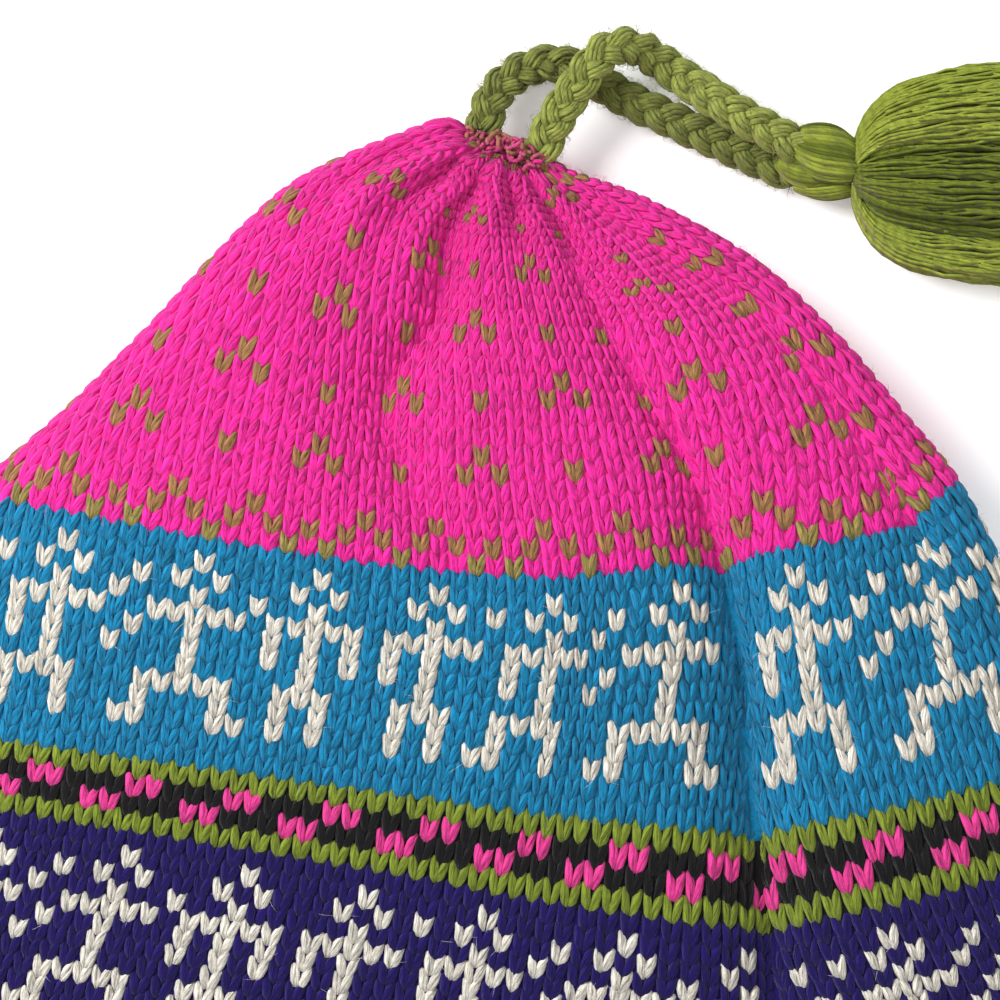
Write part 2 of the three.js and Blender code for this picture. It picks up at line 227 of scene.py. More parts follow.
def make_wool_group():
    """Group that puts out a yarn's streaked colour, with painted shade in the plies' grooves and partly
    painted highlights on its fibres, and the height of its plies and fibres.
    """
    group = bpy.data.node_groups.new("wool_yarn", "ShaderNodeTree")
    face = group.interface
    face.new_socket("Colour", in_out="INPUT", socket_type="NodeSocketColor")
    for name in ("Seed", "Plies", "Twist", "Fibres Round", "Fibres Along", "Waver"):
        face.new_socket(name, in_out="INPUT", socket_type="NodeSocketFloat")
    face.new_socket("Colour", in_out="OUTPUT", socket_type="NodeSocketColor")
    face.new_socket("Height", in_out="OUTPUT", socket_type="NodeSocketFloat")
    nodes, links = group.nodes, group.links
    inputs = nodes.new("NodeGroupInput")
    outputs = nodes.new("NodeGroupOutput")
    uv = nodes.new("ShaderNodeUVMap")
    uv.uv_map = "yarn"
    split = nodes.new("ShaderNodeSeparateXYZ")
    links.new(uv.outputs["UV"], split.inputs[0])

    def math(operation, first, second):
        node = nodes.new("ShaderNodeMath")
        node.operation = operation
        for socket, value in zip(node.inputs, (first, second)):
            if isinstance(value, (int, float)):
                socket.default_value = value
            else:
                links.new(value, socket)
        return node.outputs[0]

    def times(first, second):
        return math("MULTIPLY", first, second)

    wound = math("ADD", split.outputs["Y"], times(split.outputs["X"], inputs.outputs["Twist"]))
    ply = math("ABSOLUTE", math("SINE", times(times(wound, inputs.outputs["Plies"]), np.pi), 0.0), 0.0)
    place = nodes.new("ShaderNodeCombineXYZ")
    links.new(times(split.outputs["X"], inputs.outputs["Fibres Along"]), place.inputs["X"])
    links.new(times(wound, inputs.outputs["Fibres Round"]), place.inputs["Y"])
    fibre = nodes.new("ShaderNodeTexNoise")
    fibre.noise_dimensions = "4D"
    links.new(place.outputs[0], fibre.inputs["Vector"])
    links.new(times(inputs.outputs["Seed"], SEED_SPREAD), fibre.inputs["W"])
    fibre.inputs["Scale"].default_value = 1.0
    fibre.inputs["Detail"].default_value = 3.0
    fibre.inputs["Roughness"].default_value = 0.65
    height = math("ADD", times(ply, PLY_HEIGHT), times(fibre.outputs[0], FIBRE_HEIGHT))
    links.new(height, outputs.inputs["Height"])
    # painted light and shade: ply crests lighter, ply grooves darker; fibre streaks partly their own tone,
    # partly painted highlight
    light = math("ADD", times(ply, PLY_PAINTED_SHADE), times(fibre.outputs[0], FIBRE_TONE_AND_HIGHLIGHT))
    gain = math("ADD", times(math("SUBTRACT", light, MEAN_LIGHT), inputs.outputs["Waver"]), 1.0)
    tint = nodes.new("ShaderNodeVectorMath")
    tint.operation = "SCALE"
    links.new(inputs.outputs["Colour"], tint.inputs[0])
    links.new(math("MAXIMUM", gain, DARKEST_STREAK), tint.inputs["Scale"])
    links.new(tint.outputs[0], outputs.inputs["Colour"])
    return group


WOOL = make_wool_group()
print("node group:", WOOL.name)

# %% [markdown]
# The yarns of the hat differ in their twist and in how coarse they look, so each kind is a material of its
# own. Their colours aren't in the materials: every strand carries its colour in an attribute, because
# one knitted piece holds several yarns.

# %% Wool materials
def yarn_material(name, bump, **yarn):
    """Wool material: the yarn_colour attribute through the wool group, with the group's values by name."""
    material = bpy.data.materials.new(name)
    material.use_nodes = True
    nodes, links = material.node_tree.nodes, material.node_tree.links
    shader = nodes["Principled BSDF"]
    shader.inputs["Roughness"].default_value = 0.9
    shader.inputs["Specular IOR Level"].default_value = 0.2
    shader.inputs["Sheen Weight"].default_value = 0.12
    shader.inputs["Sheen Roughness"].default_value = 0.5
    colour = nodes.new("ShaderNodeAttribute")
    colour.attribute_name = "yarn_colour"
    wool = nodes.new("ShaderNodeGroup")
    wool.node_tree = WOOL
    for socket, value in yarn.items():
        wool.inputs[socket.replace("_", " ").title()].default_value = value
    links.new(colour.outputs["Color"], wool.inputs["Colour"])
    links.new(colour.outputs["Alpha"], wool.inputs["Seed"])
    links.new(wool.outputs["Colour"], shader.inputs["Base Color"])
    relief = nodes.new("ShaderNodeBump")
    relief.inputs["Strength"].default_value = bump
    relief.inputs["Distance"].default_value = 0.0005
    links.new(wool.outputs["Height"], relief.inputs["Height"])
    links.new(relief.outputs["Normal"], shader.inputs["Normal"])
    return material


KNIT_WOOL = yarn_material("knit_wool", 1.0, plies=2, twist=0.3, fibres_round=11, fibres_along=2, waver=1.5)
PLAIT_WOOL = yarn_material("plait_wool", 0.7, plies=2, twist=16, fibres_round=8, fibres_along=40,
                           waver=0.8)
TASSEL_WOOL = yarn_material("tassel_wool", 0.5, plies=2, twist=12, fibres_round=4, fibres_along=60,
                            waver=0.6)
KNOT_WOOL = yarn_material("knot_wool", 0.5, plies=2, twist=1.5, fibres_round=5, fibres_along=9, waver=0.6)
FLOAT_WOOL = yarn_material("float_wool", 0.8, plies=1, twist=0.06, fibres_round=1.5, fibres_along=3,
                           waver=0.6)
print("wool materials:", KNIT_WOOL.name, PLAIT_WOOL.name, TASSEL_WOOL.name, KNOT_WOOL.name, FLOAT_WOOL.name)

# %% [markdown]
# Single strands and fibres of yarn are thin tubes. Wool is hairy, so fibres stand out of every yarn and
# soften its outline. Particle hair would do that too, but it doesn't leave Blender as a mesh. Each fibre
# is therefore a short curve that leaves the yarn, bends over and ends a little way off.

# %% Strands and fibres
FIBRE_RADIUS, FIBRE_STEPS, FIBRE_SIDES = 0.045, 4, 3
FIBRE_TIP = 0.4  # share of its radius that a fibre has at its end
FIBRE_SHADES = (0.8, 1.5)  # shares of the yarn's colour
LOWEST_YARN = 0.03  # mm above the table


def yarn_tubes(name, lines, radii, sides, colours, material, rng):
    """Piece of tubes along lines, each of its own colour and seed, kept above the table."""
    points, quads, triangles, uv = tubes(lines, radii, sides)
    quads, triangles, yarn_uv, bake_uv = repeat_shape(len(lines), points.shape[1], quads, triangles, uv)
    each = np.concatenate([colours, rng.uniform(0, 1, (len(lines), 1))], axis=1)
    each = np.repeat(each, points.shape[1], axis=0)
    points = points.reshape(-1, 3)
    points[:, 2] = np.maximum(points[:, 2], LOWEST_YARN)
    piece = new_piece(name, points, quads, triangles, each, yarn_uv, bake_uv)
    piece.data.materials.append(material)
    print(name, len(lines), "strands,", 2 * len(quads) + len(triangles), "triangles")
    return piece


def draws(rng, count):
    """Function that draws a number between two limits for each of count strands, as a column."""
    return lambda low, high: rng.uniform(low, high, (count, 1))


def fibres(name, start, bend, end, colours, rng, radius=FIBRE_RADIUS):
    """Piece of fibres: each is the curve (1 - t)^2 start + 2 t (1 - t) bend + t^2 end, and thins out."""
    t = np.linspace(0, 1, FIBRE_STEPS)[None, :, None]
    lines = (1 - t) ** 2 * start[:, None] + 2 * t * (1 - t) * bend[:, None] + t ** 2 * end[:, None]
    radii = np.broadcast_to(radius * np.linspace(1.0, FIBRE_TIP, FIBRE_STEPS), lines.shape[:2])
    piece = yarn_tubes(name, lines, radii, FIBRE_SIDES, colours, KNOT_WOOL, rng)
    return piece


print("strand and fibre helpers ready")

# %% [markdown]
# Two plaits leave the gathered top and run to the tassel's knot. Each follows one smooth route, the same
# as its solid. The route's points are listed along the cord, and a cubic runs through them.

# %% Routes of the cords
CORD_DIAMETER = 7.4
CORD_RADIUS = CORD_DIAMETER / 2
CORD_LEFT_ROUTE = np.array([
    [0.5, 106.2, 9], [1.6, 111, 8.3], [4.2, 115.6, 6.4], [8.2, 118.8, 4.6], [13, 120.4, CORD_RADIUS],
    [17.8, 120, CORD_RADIUS], [22, 118, CORD_RADIUS], [26.4, 115.2, CORD_RADIUS],
    [31.2, 112.6, CORD_RADIUS], [36.6, 110, CORD_RADIUS], [42, 107.5, CORD_RADIUS],
    [48, 104.8, CORD_RADIUS], [55.4, 101.4, CORD_RADIUS], [63.8, 97.7, CORD_RADIUS]])
CORD_RIGHT_ROUTE = np.array([
    [11.9, 100.8, 9.4], [14, 106.6, 10.2], [17.2, 112, 11.4], [20, 116.2, 12.2], [22.6, 120, 12.2],
    [26, 123, 10.8], [30, 123.8, 8.4], [34.2, 122.2, 5.4], [38, 119.6, 3.9], [42, 116.8, 4.3],
    [45.6, 114.4, 6.6], [48, 112.7, 7.9], [52, 110, 9.1], [58.2, 106.6, 9.8], [65, 102.9, 9.8]])
ROUTE_STEPS = 800  # points on the cubic, from which even ones are picked


def smooth(knots, values, at):
    """Cubic through values at uneven knots: each slope weighs the two neighbouring secants by the other's
    span, and every stretch is the Hermite cubic between its two knots."""
    knots, values, at = np.asarray(knots, float), np.asarray(values, float), np.asarray(at, float)
    span = np.diff(knots)
    secant = np.diff(values) / span
    slope = np.empty_like(values)
    slope[0], slope[-1] = secant[0], secant[-1]
    slope[1:-1] = (secant[:-1] * span[1:] + secant[1:] * span[:-1]) / (span[:-1] + span[1:])
    i = np.clip(np.searchsorted(knots, at, side="left") - 1, 0, len(span) - 1)
    t = (at - knots[i]) / span[i]
    start = (1 + 2 * t) * (1 - t) ** 2
    return (start * values[i] + (1 - start) * values[i + 1]
            + t * (1 - t) ** 2 * span[i] * slope[i] + t ** 2 * (t - 1) * span[i] * slope[i + 1])


def even_line(route, spacing):
    """Smooth curve through the route's points, as points that are evenly spaced along it."""
    chord = np.concatenate([[0.0], np.cumsum(np.linalg.norm(np.diff(route, axis=0), axis=1))])
    fine = np.linspace(0.0, chord[-1], ROUTE_STEPS)
    line = np.stack([smooth(chord, route[:, axis], fine) for axis in range(3)], axis=1)
    along = np.concatenate([[0.0], np.cumsum(np.linalg.norm(np.diff(line, axis=0), axis=1))])
    at = np.linspace(0.0, along[-1], int(along[-1] / spacing) + 1)
    return np.stack([np.interp(at, along, line[:, axis]) for axis in range(3)], axis=1), at


print("routes:", len(CORD_LEFT_ROUTE), "and", len(CORD_RIGHT_ROUTE), "points")

# %% [markdown]
# A plait of three strands is a known curve: every strand swings from side to side as a sine while it rises
# and dips twice as fast, and the three are a third of a turn apart. A twisted rope would be simpler, but
# these cords show the herringbone of a plait. Each strand is a bundle of yarns that wind slowly round each
# other, and fibres stand out of it.

# %% Plaited cords
PLAIT_PITCH, PLAIT_SWING, PLAIT_LIFT = 15.0, 2.1, 1.3  # mm
PLAIT_SPACING = 0.95  # mm between the sections of a yarn
YARN_LAYERS = [(1, 0.0, 0.0), (5, 0.75, 0.5), (11, 1.5, 1.05)]  # yarns laid round, half width, half height
YARN_RADIUS, YARN_SIDES = 0.5, 5
YARN_WIND, YARN_JITTER = 60.0, 0.06  # mm for a turn round the strand, mm that a yarn strays
YARN_PHASE = 0.4  # radians by which a yarn may lie out of turn
YARN_SWELLS, YARN_SHADES = (0.88, 1.1), (0.85, 1.2)  # shares of a yarn's radius and colour
YARN_END, YARN_END_REACH = 0.6, 1.5  # share of its radius at a yarn's ends, mm over which it thins
FIBRES_PER_PLAIT, PLAIT_FIBRE_RADIUS = 900, 0.065
PLAIT_HALF_WIDTH, PLAIT_HALF_HEIGHT = 2.6, 1.8  # the oval from which fibres leave a plait
BEND_OUT, BEND_ALONG = (1.4, 3.2), (-0.6, 0.6)  # where such a fibre bends, in mm
END_OUT, END_ALONG = (0.8, 2.4), (-2.0, 2.0)  # where it ends
GREEN_LIGHT = srgb(162, 174, 68)
GREEN_MIDDLE = srgb(140, 148, 70)
GREEN_DARK = srgb(84, 96, 20)
# Painted shade: the lower plait is the same green yarn as the upper one, darkened as if it lay in that
# plait's shade.
LOWER_PLAIT_SHADED_GREEN = GREEN_MIDDLE * 0.72  # the lower plait is darker


def plait(name, route, node, colour, seed):
    """Three-strand plait: strand k at distance s swings aside by sin(a) and up by sin(2a), where
    a = 2 pi (s / pitch + k / 3). A strand is one yarn with others laid round it in an oval, which wind
    slowly along it."""
    line, at = even_line(route, PLAIT_SPACING)
    _, side, up = directions(line)
    rng = np.random.default_rng(seed)
    yarns = []
    for strand in range(3):
        turn = 2 * np.pi * (at / PLAIT_PITCH + strand / 3)
        aside, lift = PLAIT_SWING * np.sin(turn), PLAIT_LIFT * np.sin(2 * turn)
        middle = line + side * aside[:, None] + up * lift[:, None]
        out = unit(np.cross(unit(np.gradient(middle, axis=0)), up))
        for count, wide, high in YARN_LAYERS:
            for yarn in range(count):
                angle = 2 * np.pi * (at / YARN_WIND + yarn / count) + rng.uniform(0, YARN_PHASE)
                beside = out * (wide * np.cos(angle))[:, None]
                yarns.append(middle + beside + up * (high * np.sin(angle))[:, None])
    lines = np.array(yarns) + rng.normal(0.0, YARN_JITTER, (len(yarns), len(at), 3))
    from_end = np.minimum(at, at[-1] - at)
    taper = YARN_END + (1 - YARN_END) * np.clip(from_end / YARN_END_REACH, 0, 1)
    radii = YARN_RADIUS * taper[None] * rng.uniform(*YARN_SWELLS, (len(lines), 1))
    colours = colour * rng.uniform(*YARN_SHADES, (len(lines), 1))
    piece = yarn_tubes(name, lines, radii, YARN_SIDES, colours, PLAIT_WOOL, rng)
    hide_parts(node)
    print(name, "length", round(float(at[-1]), 1), "mm")
    return piece, line, float(at[-1])


def plait_fibres(name, line, colour, seed):
    """Fibres that stand out of a plait: each leaves an oval inside it at a random angle and bends over
    along it."""
    rng = np.random.default_rng(seed)
    random = draws(rng, FIBRES_PER_PLAIT)
    at = rng.integers(0, len(line), FIBRES_PER_PLAIT)
    ahead, side, up = [vectors[at] for vectors in directions(line)]
    angle = random(0, 2 * np.pi)
    beside, above = np.cos(angle) * side, np.sin(angle) * up
    start = line[at] + PLAIT_HALF_WIDTH * beside + PLAIT_HALF_HEIGHT * above
    bend = start + (beside + above) * random(*BEND_OUT) + ahead * random(*BEND_ALONG)
    end = start + (beside + above) * random(*END_OUT) + ahead * random(*END_ALONG)
    shades = colour * random(*FIBRE_SHADES)
    return fibres(name, start, bend, end, shades, rng, PLAIT_FIBRE_RADIUS)


left_plait, left_line, left_length = plait("plait_left", CORD_LEFT_ROUTE, "cord_left", LOWER_PLAIT_SHADED_GREEN, 11)
right_plait, right_line, right_length = plait(
    "plait_right", CORD_RIGHT_ROUTE, "cord_right", GREEN_MIDDLE, 12)
left_fibres = plait_fibres("plait_left_fibres", left_line, LOWER_PLAIT_SHADED_GREEN, 13)
right_fibres = plait_fibres("plait_right_fibres", right_line, GREEN_MIDDLE, 14)

# %% [markdown]
# The cap is described by its rows. Each section of the table says where one row runs over the front: the
# left edge, three folds with a ridge after the first, and the right edge, and how high the cap stands
# there. A simulated cloth would fall into folds of its own, so the folds of this cap are given: between
# the sections the rows follow smooth curves, and every fold presses a valley into the front. The same
# numbers shape the solids, so the stitches lie on them.

# %% Table of the rows
HEM_ROW, PURPLE_ROW, STRIPE_ROW, BLUE_ROW, CROWN_ROW = -34, -30, -17, -13, 0  # the first row of each piece
SECTION_ROWS = [-34, -30, -17, -13, 0, 5, 10, 15, 20, 25]
SECTION_LINES = {
    "left": [(-115, -86), (-116, -72), (-116, -27), (-114.4, -13.6), (-102, 32.4),
             (-83.4, 49.2), (-66.4, 66.2), (-50.6, 83.2), (-34.6, 97), (-8, 108.4)],
    "fold1": [(-20, -103), (-19.4, -88.6), (-17, -42.4), (-16, -26.8), (-4, 17.2),
              (-14, 35), (-18.6, 52.6), (-8.6, 69.8), (-6.8, 86.2), (-5, 100)],
    "ridge": [(23, -108.4), (23, -94.6), (22, -49.4), (21, -31.8), (12, 16.2),
              (10, 34.8), (8, 53), (6.4, 69.2), (5, 84), (3, 96.6)],
    "fold2": [(61, -111), (60, -97.4), (57.4, -53), (55, -34), (48.4, 20.6),
              (42.4, 38.5), (32.6, 54), (23.2, 69.5), (17, 82.5), (11, 94)],
    "fold3": [(90, -105), (90, -91), (90, -47), (90, -28), (86, 28.4),
              (75.5, 45.4), (62.5, 61.5), (49, 74), (31.4, 84.5), (15.6, 95)],
    "right": [(115, -99), (116.4, -85), (116.6, -39.6), (115.6, -21.6), (95.6, 35.2),
              (84.5, 49.2), (71, 65), (55, 79.6), (34.6, 91.4), (17.4, 98)],
}
SECTION_HEIGHTS = [34, 37, 42, 43, 42, 40, 37, 33, 27, 19]
COLUMNS = list(SECTION_LINES)
FOLDS = [  # column, reach in mm, sharpness, then rows with the depths and dips there
    ("fold1", 9.0, 1.35, [-4, 3, 8, 15, 20, 25], [0, 4, 7, 8, 7, 3], [0, 0, 0, 0, 0, 0]),
    ("fold2", 9.0, 1.1, [-34, -20, -13, 0, 5, 10, 20, 25], [4, 10, 13, 13, 10, 8, 6, 2.5],
     [1, 2, 3, 4.6, 3, 1.5, 0.5, 0]),
    ("fold3", 8.0, 1.2, [-10, 0, 5, 8, 18, 25], [0, 6, 7, 7, 6.5, 2.5], [0, 4, 2.4, 1.5, 0.5, 0]),
]
DIP_REACH = 0.5  # a fold's rows dip within this share of its reach
EDGE_LEVEL = 0.42  # height of a row's edges, as a share of the row's height
DOME_POWER, BACK_POWER = 0.75, 0.5  # lower ones make the front and the back squarer
BACK_REACH = 1.25  # above 1 the back lies flat on the table
BACK_SAG = 0.3  # share of the front's bow that the back follows
TOP_ROW, TOP_ROWS, TOP_BULGE = 25, 3.0, 1.5  # the gathered top closes in three short rows
TOP_HOLE = 0.02  # share of the last row's size that is left at the very top
PLEATS = 6
PLEAT_ROWS, PLEAT_HEIGHTS = [13, 23, 25], [0.0, 2.0, 1.0]
FRONT_POINTS = 501
print("rows:", HEM_ROW, "to", TOP_ROW, "with", len(FOLDS), "folds")

# %% [markdown]
# A row of the cap is a closed ring: over the front from left to right, and back under it. It is worked out
# as a dense line of points with the distance along it, so that a stitch can be placed by how far along its
# row it lies. Rings are kept once they are made, because every stitch asks for several.

# %% Rings of the rows
RING_CACHE = {}


def top_directions():
    """Level unit vectors along the last row from edge to edge, and out of the gathered top."""
    points = ring(TOP_ROW)[0]
    chord = points[FRONT_POINTS - 1] - points[0]
    return unit(chord * [1, 1, 0]), unit(np.array([-chord[1], chord[0], 0.0]))


def top_ring(row):
    """Ring of the gathered top: the last row drawn in towards its middle, standing out as a low dome."""
    points, along, columns = ring(TOP_ROW)
    keep = max(TOP_HOLE, 1 - (row - TOP_ROW) / TOP_ROWS)
    middle = points.mean(axis=0)
    bulge = top_directions()[1] * TOP_BULGE * np.sqrt(1 - keep ** 2)
    return middle + (points - middle) * keep + bulge, along * keep, columns * keep


def ring(row):
    """Outside of the cap at one row: points over the front from left to right and back under it, with
    the distance along them and where each column lies. The front is the row's line with its height
    raised by a power of 4a(1-a), less each fold's depth times exp(-(distance/reach)^sharpness)."""
    if row in RING_CACHE:
        return RING_CACHE[row]
    if row > TOP_ROW:
        RING_CACHE[row] = top_ring(row)
        return RING_CACHE[row]
    plan = np.array([[smooth(SECTION_ROWS, np.array(SECTION_LINES[c])[:, axis], row) for axis in (0, 1)]
                     for c in COLUMNS])
    height = float(smooth(SECTION_ROWS, SECTION_HEIGHTS, row))
    chord = np.concatenate([[0.0], np.cumsum(np.linalg.norm(np.diff(plan, axis=0), axis=1))])
    knots = chord / chord[-1]
    across = (1 - np.cos(np.pi * np.linspace(0, 1, FRONT_POINTS))) / 2
    dome = (4 * across * (1 - across)).clip(0) ** (DOME_POWER / 2)
    edge = EDGE_LEVEL * height
    x, y = smooth(knots, plan[:, 0], across), smooth(knots, plan[:, 1], across)
    line_y = y.copy()
    z = edge + (height - edge) * dome
    for column, reach, sharpness, rows, depths, dips in FOLDS:
        away = np.abs(across - knots[COLUMNS.index(column)]) * chord[-1]
        z = z - np.interp(row, rows, depths) * dome * np.exp(-((away / reach) ** sharpness))
        y = y - np.interp(row, rows, dips) * dome * np.exp(-((away / (DIP_REACH * reach)) ** sharpness))
    z = z + np.interp(row, PLEAT_ROWS, PLEAT_HEIGHTS) * dome * np.cos(2 * np.pi * PLEATS * across)
    front = np.stack([x, y, z], axis=1)
    chord_x = plan[0, 0] + (plan[-1, 0] - plan[0, 0]) * across
    chord_y = plan[0, 1] + (plan[-1, 1] - plan[0, 1]) * across
    turn = (4 * across * (1 - across)).clip(0) ** (BACK_POWER / 2)
    under = edge * (1 - BACK_REACH * turn).clip(0)
    back = np.stack([chord_x, chord_y - BACK_SAG * (chord_y - line_y), under], axis=1)[::-1]
    points = np.concatenate([front, back[1:]])
    along = np.concatenate([[0.0], np.cumsum(np.linalg.norm(np.diff(points, axis=0), axis=1))])
    at_columns = np.interp(knots, across, along[:FRONT_POINTS])
    RING_CACHE[row] = (points, along, at_columns)
    return RING_CACHE[row]


def on_ring(row, distance):
    """Points of a row at distances along it; distances run round and round."""
    points, along, _ = ring(row)
    wrapped = np.mod(distance, along[-1])
    return np.stack([np.interp(wrapped, along, points[:, axis]) for axis in range(3)], axis=-1)


print("girth at the blue band's foot:", round(float(ring(BLUE_ROW)[1][-1])), "mm")

# %% [markdown]
# Knitting has rows and wales. A wale is a column of stitches, and the photo shows how the wales lean and
# where they vanish into a fold. An even grid would miss that. So six wales that show clearly are given by
# their places along the rows, and all the other stitches are counted off from them in steps of one stitch,
# until a fold or an edge.

# %% Wales of the cap
STITCH = 4.0
LEFT_WALE = (10, [-77, -73.2, -55.8, -51.2, -42, -39.4, -36.4, -33.8, -27, -7.2])
MIDDLE_WALE = (25, [-10.4, -7.4, 2.8, 7.2, 14.6, 11, 9.8, 7, 4.8, 3])
FOLD_WALE = (29, [6.8, 9.2, 17.3, 20.2, 28.6])  # in the bands alone
RIGHT_WALE = (50, [101, 97, 79, 72.4, 62.2, 60.6, 55.6, 47.8, 35, 16])
CROWN_RIGHT_WALE = (47, [89, 85, 67, 60.4, 49.6, 47.6, 43, 36.4, 26, 14])
EDGE_WALE = (58, [134, 131, 115, 107, 92, 81.6, 67.6, 52.2, 34, 17.4])
BAND_LEFT_END, BAND_RIGHT_END, ROUND = -6, 62, 125
CROWN_BACK_WALE = 90
WIDTH_ROWS = [0, 5, 10, 14, 18, 25, 28]
STITCH_WIDTHS = {  # shares of the plain width: the front's middle narrows most towards the top
    "plain": [1.0, 0.98, 0.96, 0.9, 0.85, 0.7, 0.05],
    "middle": [0.92, 1.02, 0.86, 0.7, 0.6, 0.5, 0.05],
    "right": [1.15, 1.12, 1.05, 0.95, 0.82, 0.6, 0.05],
}
FOLD_WIDTH_ROWS, FOLD_WIDTHS = [-20, -15, -9, -4], [1.1, 1.0, 1.04, 1.1]  # shares at the second fold


def anchor_distance(row, wale):
    """Distance along the row at which a wale crosses it, found from its x."""
    points, along, _ = ring(row)
    x = smooth(SECTION_ROWS[:len(wale[1])], wale[1], row)
    return np.interp(x, points[:FRONT_POINTS, 0], along[:FRONT_POINTS])


def stitch_width(row, place="plain"):
    """Width of a stitch at a row: even in the bands, and drawn in towards the gathered top."""
    return STITCH * np.interp(row, WIDTH_ROWS, STITCH_WIDTHS[place])


def between_wales(row, index):
    """Distance along the row of the wales left of the second fold: shared out evenly between the wales
    that are given, and counted off in stitch widths before the first of them and after the last."""
    if row > CROWN_ROW:
        given = (LEFT_WALE, MIDDLE_WALE)
        last_width = stitch_width(row, "middle")
    else:
        given = (LEFT_WALE, MIDDLE_WALE, FOLD_WALE)
        last_width = STITCH * np.interp(row, FOLD_WIDTH_ROWS, FOLD_WIDTHS)
    numbers = [wale[0] for wale in given]
    places = [anchor_distance(row, wale) for wale in given]
    before = places[0] + (index - numbers[0]) * stitch_width(row)
    after = places[-1] + (index - numbers[-1]) * last_width
    shared = np.interp(index, numbers, places)
    return np.where(index < numbers[0], before, np.where(index > numbers[-1], after, shared))


def stretch_distance(row, stretch, index):
    """Distance along the row of the stitches with these numbers, in one stretch between two folds."""
    index = np.asarray(index, float)
    if row > TOP_ROW:
        return stretch_distance(TOP_ROW, stretch, index) * ring(row)[1][-1] / ring(TOP_ROW)[1][-1]
    if stretch in ("band_left", "crown_low"):
        return between_wales(row, index)
    if stretch == "band_back":
        start = stretch_distance(row, "band_right", BAND_RIGHT_END)
        end = ring(row)[1][-1] + stretch_distance(row, "band_left", BAND_LEFT_END)
        share = (index - BAND_RIGHT_END) / (BAND_LEFT_END + ROUND - BAND_RIGHT_END)
        return start + (end - start) * share
    if stretch == "crown_back":
        _, along, columns = ring(row)
        return (columns[-1] + along[-1]) / 2 + (index - CROWN_BACK_WALE) * stitch_width(row)
    wale, place = {
        "crown_1": (LEFT_WALE, "plain"), "crown_2": (MIDDLE_WALE, "middle"),
        "crown_3": (CROWN_RIGHT_WALE, "right"), "crown_4": (EDGE_WALE, "plain"),
        "band_right": (RIGHT_WALE, "plain")}[stretch]
    return anchor_distance(row, wale) + (index - wale[0]) * stitch_width(row, place)


print("wales round the cap:", ROUND)

# %% [markdown]
# Between two folds lies a stretch of a row, and its stitches can be counted. For each stitch its place and
# three directions are wanted: across to the next wale, up to the next row, and out of the cloth. They are
# taken as differences between points of the rows, so a stitch turns and narrows with the cloth under it.

# %% Stitches of a row
WALE_NUMBERS = np.arange(-40, 170)  # more than any stretch holds
FOLD_OVERLAP = 0.25  # share of a stitch that may reach into a fold
Stitches = namedtuple("Stitches", "middle across rise outward wale row")


def stretch_limits(row, stretch):
    """Distances along the row where a stretch starts and ends."""
    _, along, (left, fold1, _, fold2, fold3, right) = ring(row)
    band_start = stretch_distance(row, "band_left", BAND_LEFT_END - 0.5)
    band_end = stretch_distance(row, "band_right", BAND_RIGHT_END + 0.5)
    return {
        "band_left": (band_start, fold2),
        "band_right": (fold2, band_end),
        "band_back": (band_end, along[-1] + band_start),
        "crown_low": (left, fold2),
        "crown_1": (left, fold1),
        "crown_2": (fold1, fold2),
        "crown_3": (fold2, fold3),
        "crown_4": (fold3, right),
        "crown_back": (right, along[-1]),
    }[stretch]


def stitch_points(row, stretch, index):
    """Points of the cap at the stitches with these numbers, in one stretch of a row."""
    return on_ring(row, stretch_distance(row, stretch, index))


def joined(parts):
    """All the stitches of several parts as one."""
    return Stitches(*(np.concatenate(values) for values in zip(*parts)))


def stitches_of_row(row, height, stretches, counted):
    """Stitches of the row whose middle and height are given, with their wale numbers and the row's number
    as counted."""
    found = []
    for stretch in stretches:
        low, high = stretch_limits(row, stretch)
        distance = stretch_distance(row, stretch, WALE_NUMBERS)
        overlap = FOLD_OVERLAP * stitch_width(row)
        wales = WALE_NUMBERS[(distance > low - overlap) & (distance < high + overlap)]
        across = stitch_points(row, stretch, wales + 0.5) - stitch_points(row, stretch, wales - 0.5)
        rise = (stitch_points(row + height / 2, stretch, wales)
                - stitch_points(row - height / 2, stretch, wales))
        outward = unit(np.cross(across, rise))
        found.append(Stitches(stitch_points(row, stretch, wales), across, rise, outward, wales,
                              np.full(len(wales), counted)))
    return joined(found)


def gather_rows(edges, stretches):
    """All the stitches of the rows between successive edges, counted up from the first edge."""
    return joined([stitches_of_row((low + high) / 2, high - low, stretches, int(edges[0]) + k)
                   for k, (low, high) in enumerate(zip(edges, edges[1:]))])


BAND_STRETCHES = ("band_left", "band_right", "band_back")
below_crown = gather_rows([CROWN_ROW - 1, CROWN_ROW], BAND_STRETCHES)
print("stitches in the row below the crown:", len(below_crown.wale))

# %% [markdown]
# On the knit side every stitch shows as a small V: two plump legs that narrow to their ends. The lower
# end comes out of the stitch below, and the upper end goes in behind the stitch above. A bump map could
# hint at them, but these stitches are large enough to cast shadows. One leg is a spindle with a bowed
# axis, and thousands of copies of it are placed at once, each on its own stitch's directions.

# %% One stitch
LEG_STATIONS = np.array([0.0, 0.08, 0.3, 0.58, 0.85, 1.0])
LEG_ASIDE = np.array([0.03, 0.08, 0.16, 0.252, 0.36, 0.45])  # in stitch widths
LEG_RISE = np.array([-0.59, -0.48, -0.13, 0.32, 0.75, 1.02])  # in rows
LEG_LIFT = np.array([-0.4, 0.0, 0.3, 0.25, 0.0, -0.45])  # in mm
LEG_HALF_WIDTH = np.array([0.0, 0.14, 0.24, 0.255, 0.18, 0.0])  # in stitch widths
LEG_HALF_THICKNESS = np.array([0.0, 0.5, 0.8, 0.76, 0.5, 0.0])  # in mm
LEG_ANGLES = np.radians([-15, 45, 90, 135, 195])  # round a section: most of its corners face outward
LEG_SIDES = len(LEG_ANGLES)
LEG_SLANT = 0.3  # how far a section leans back along the row


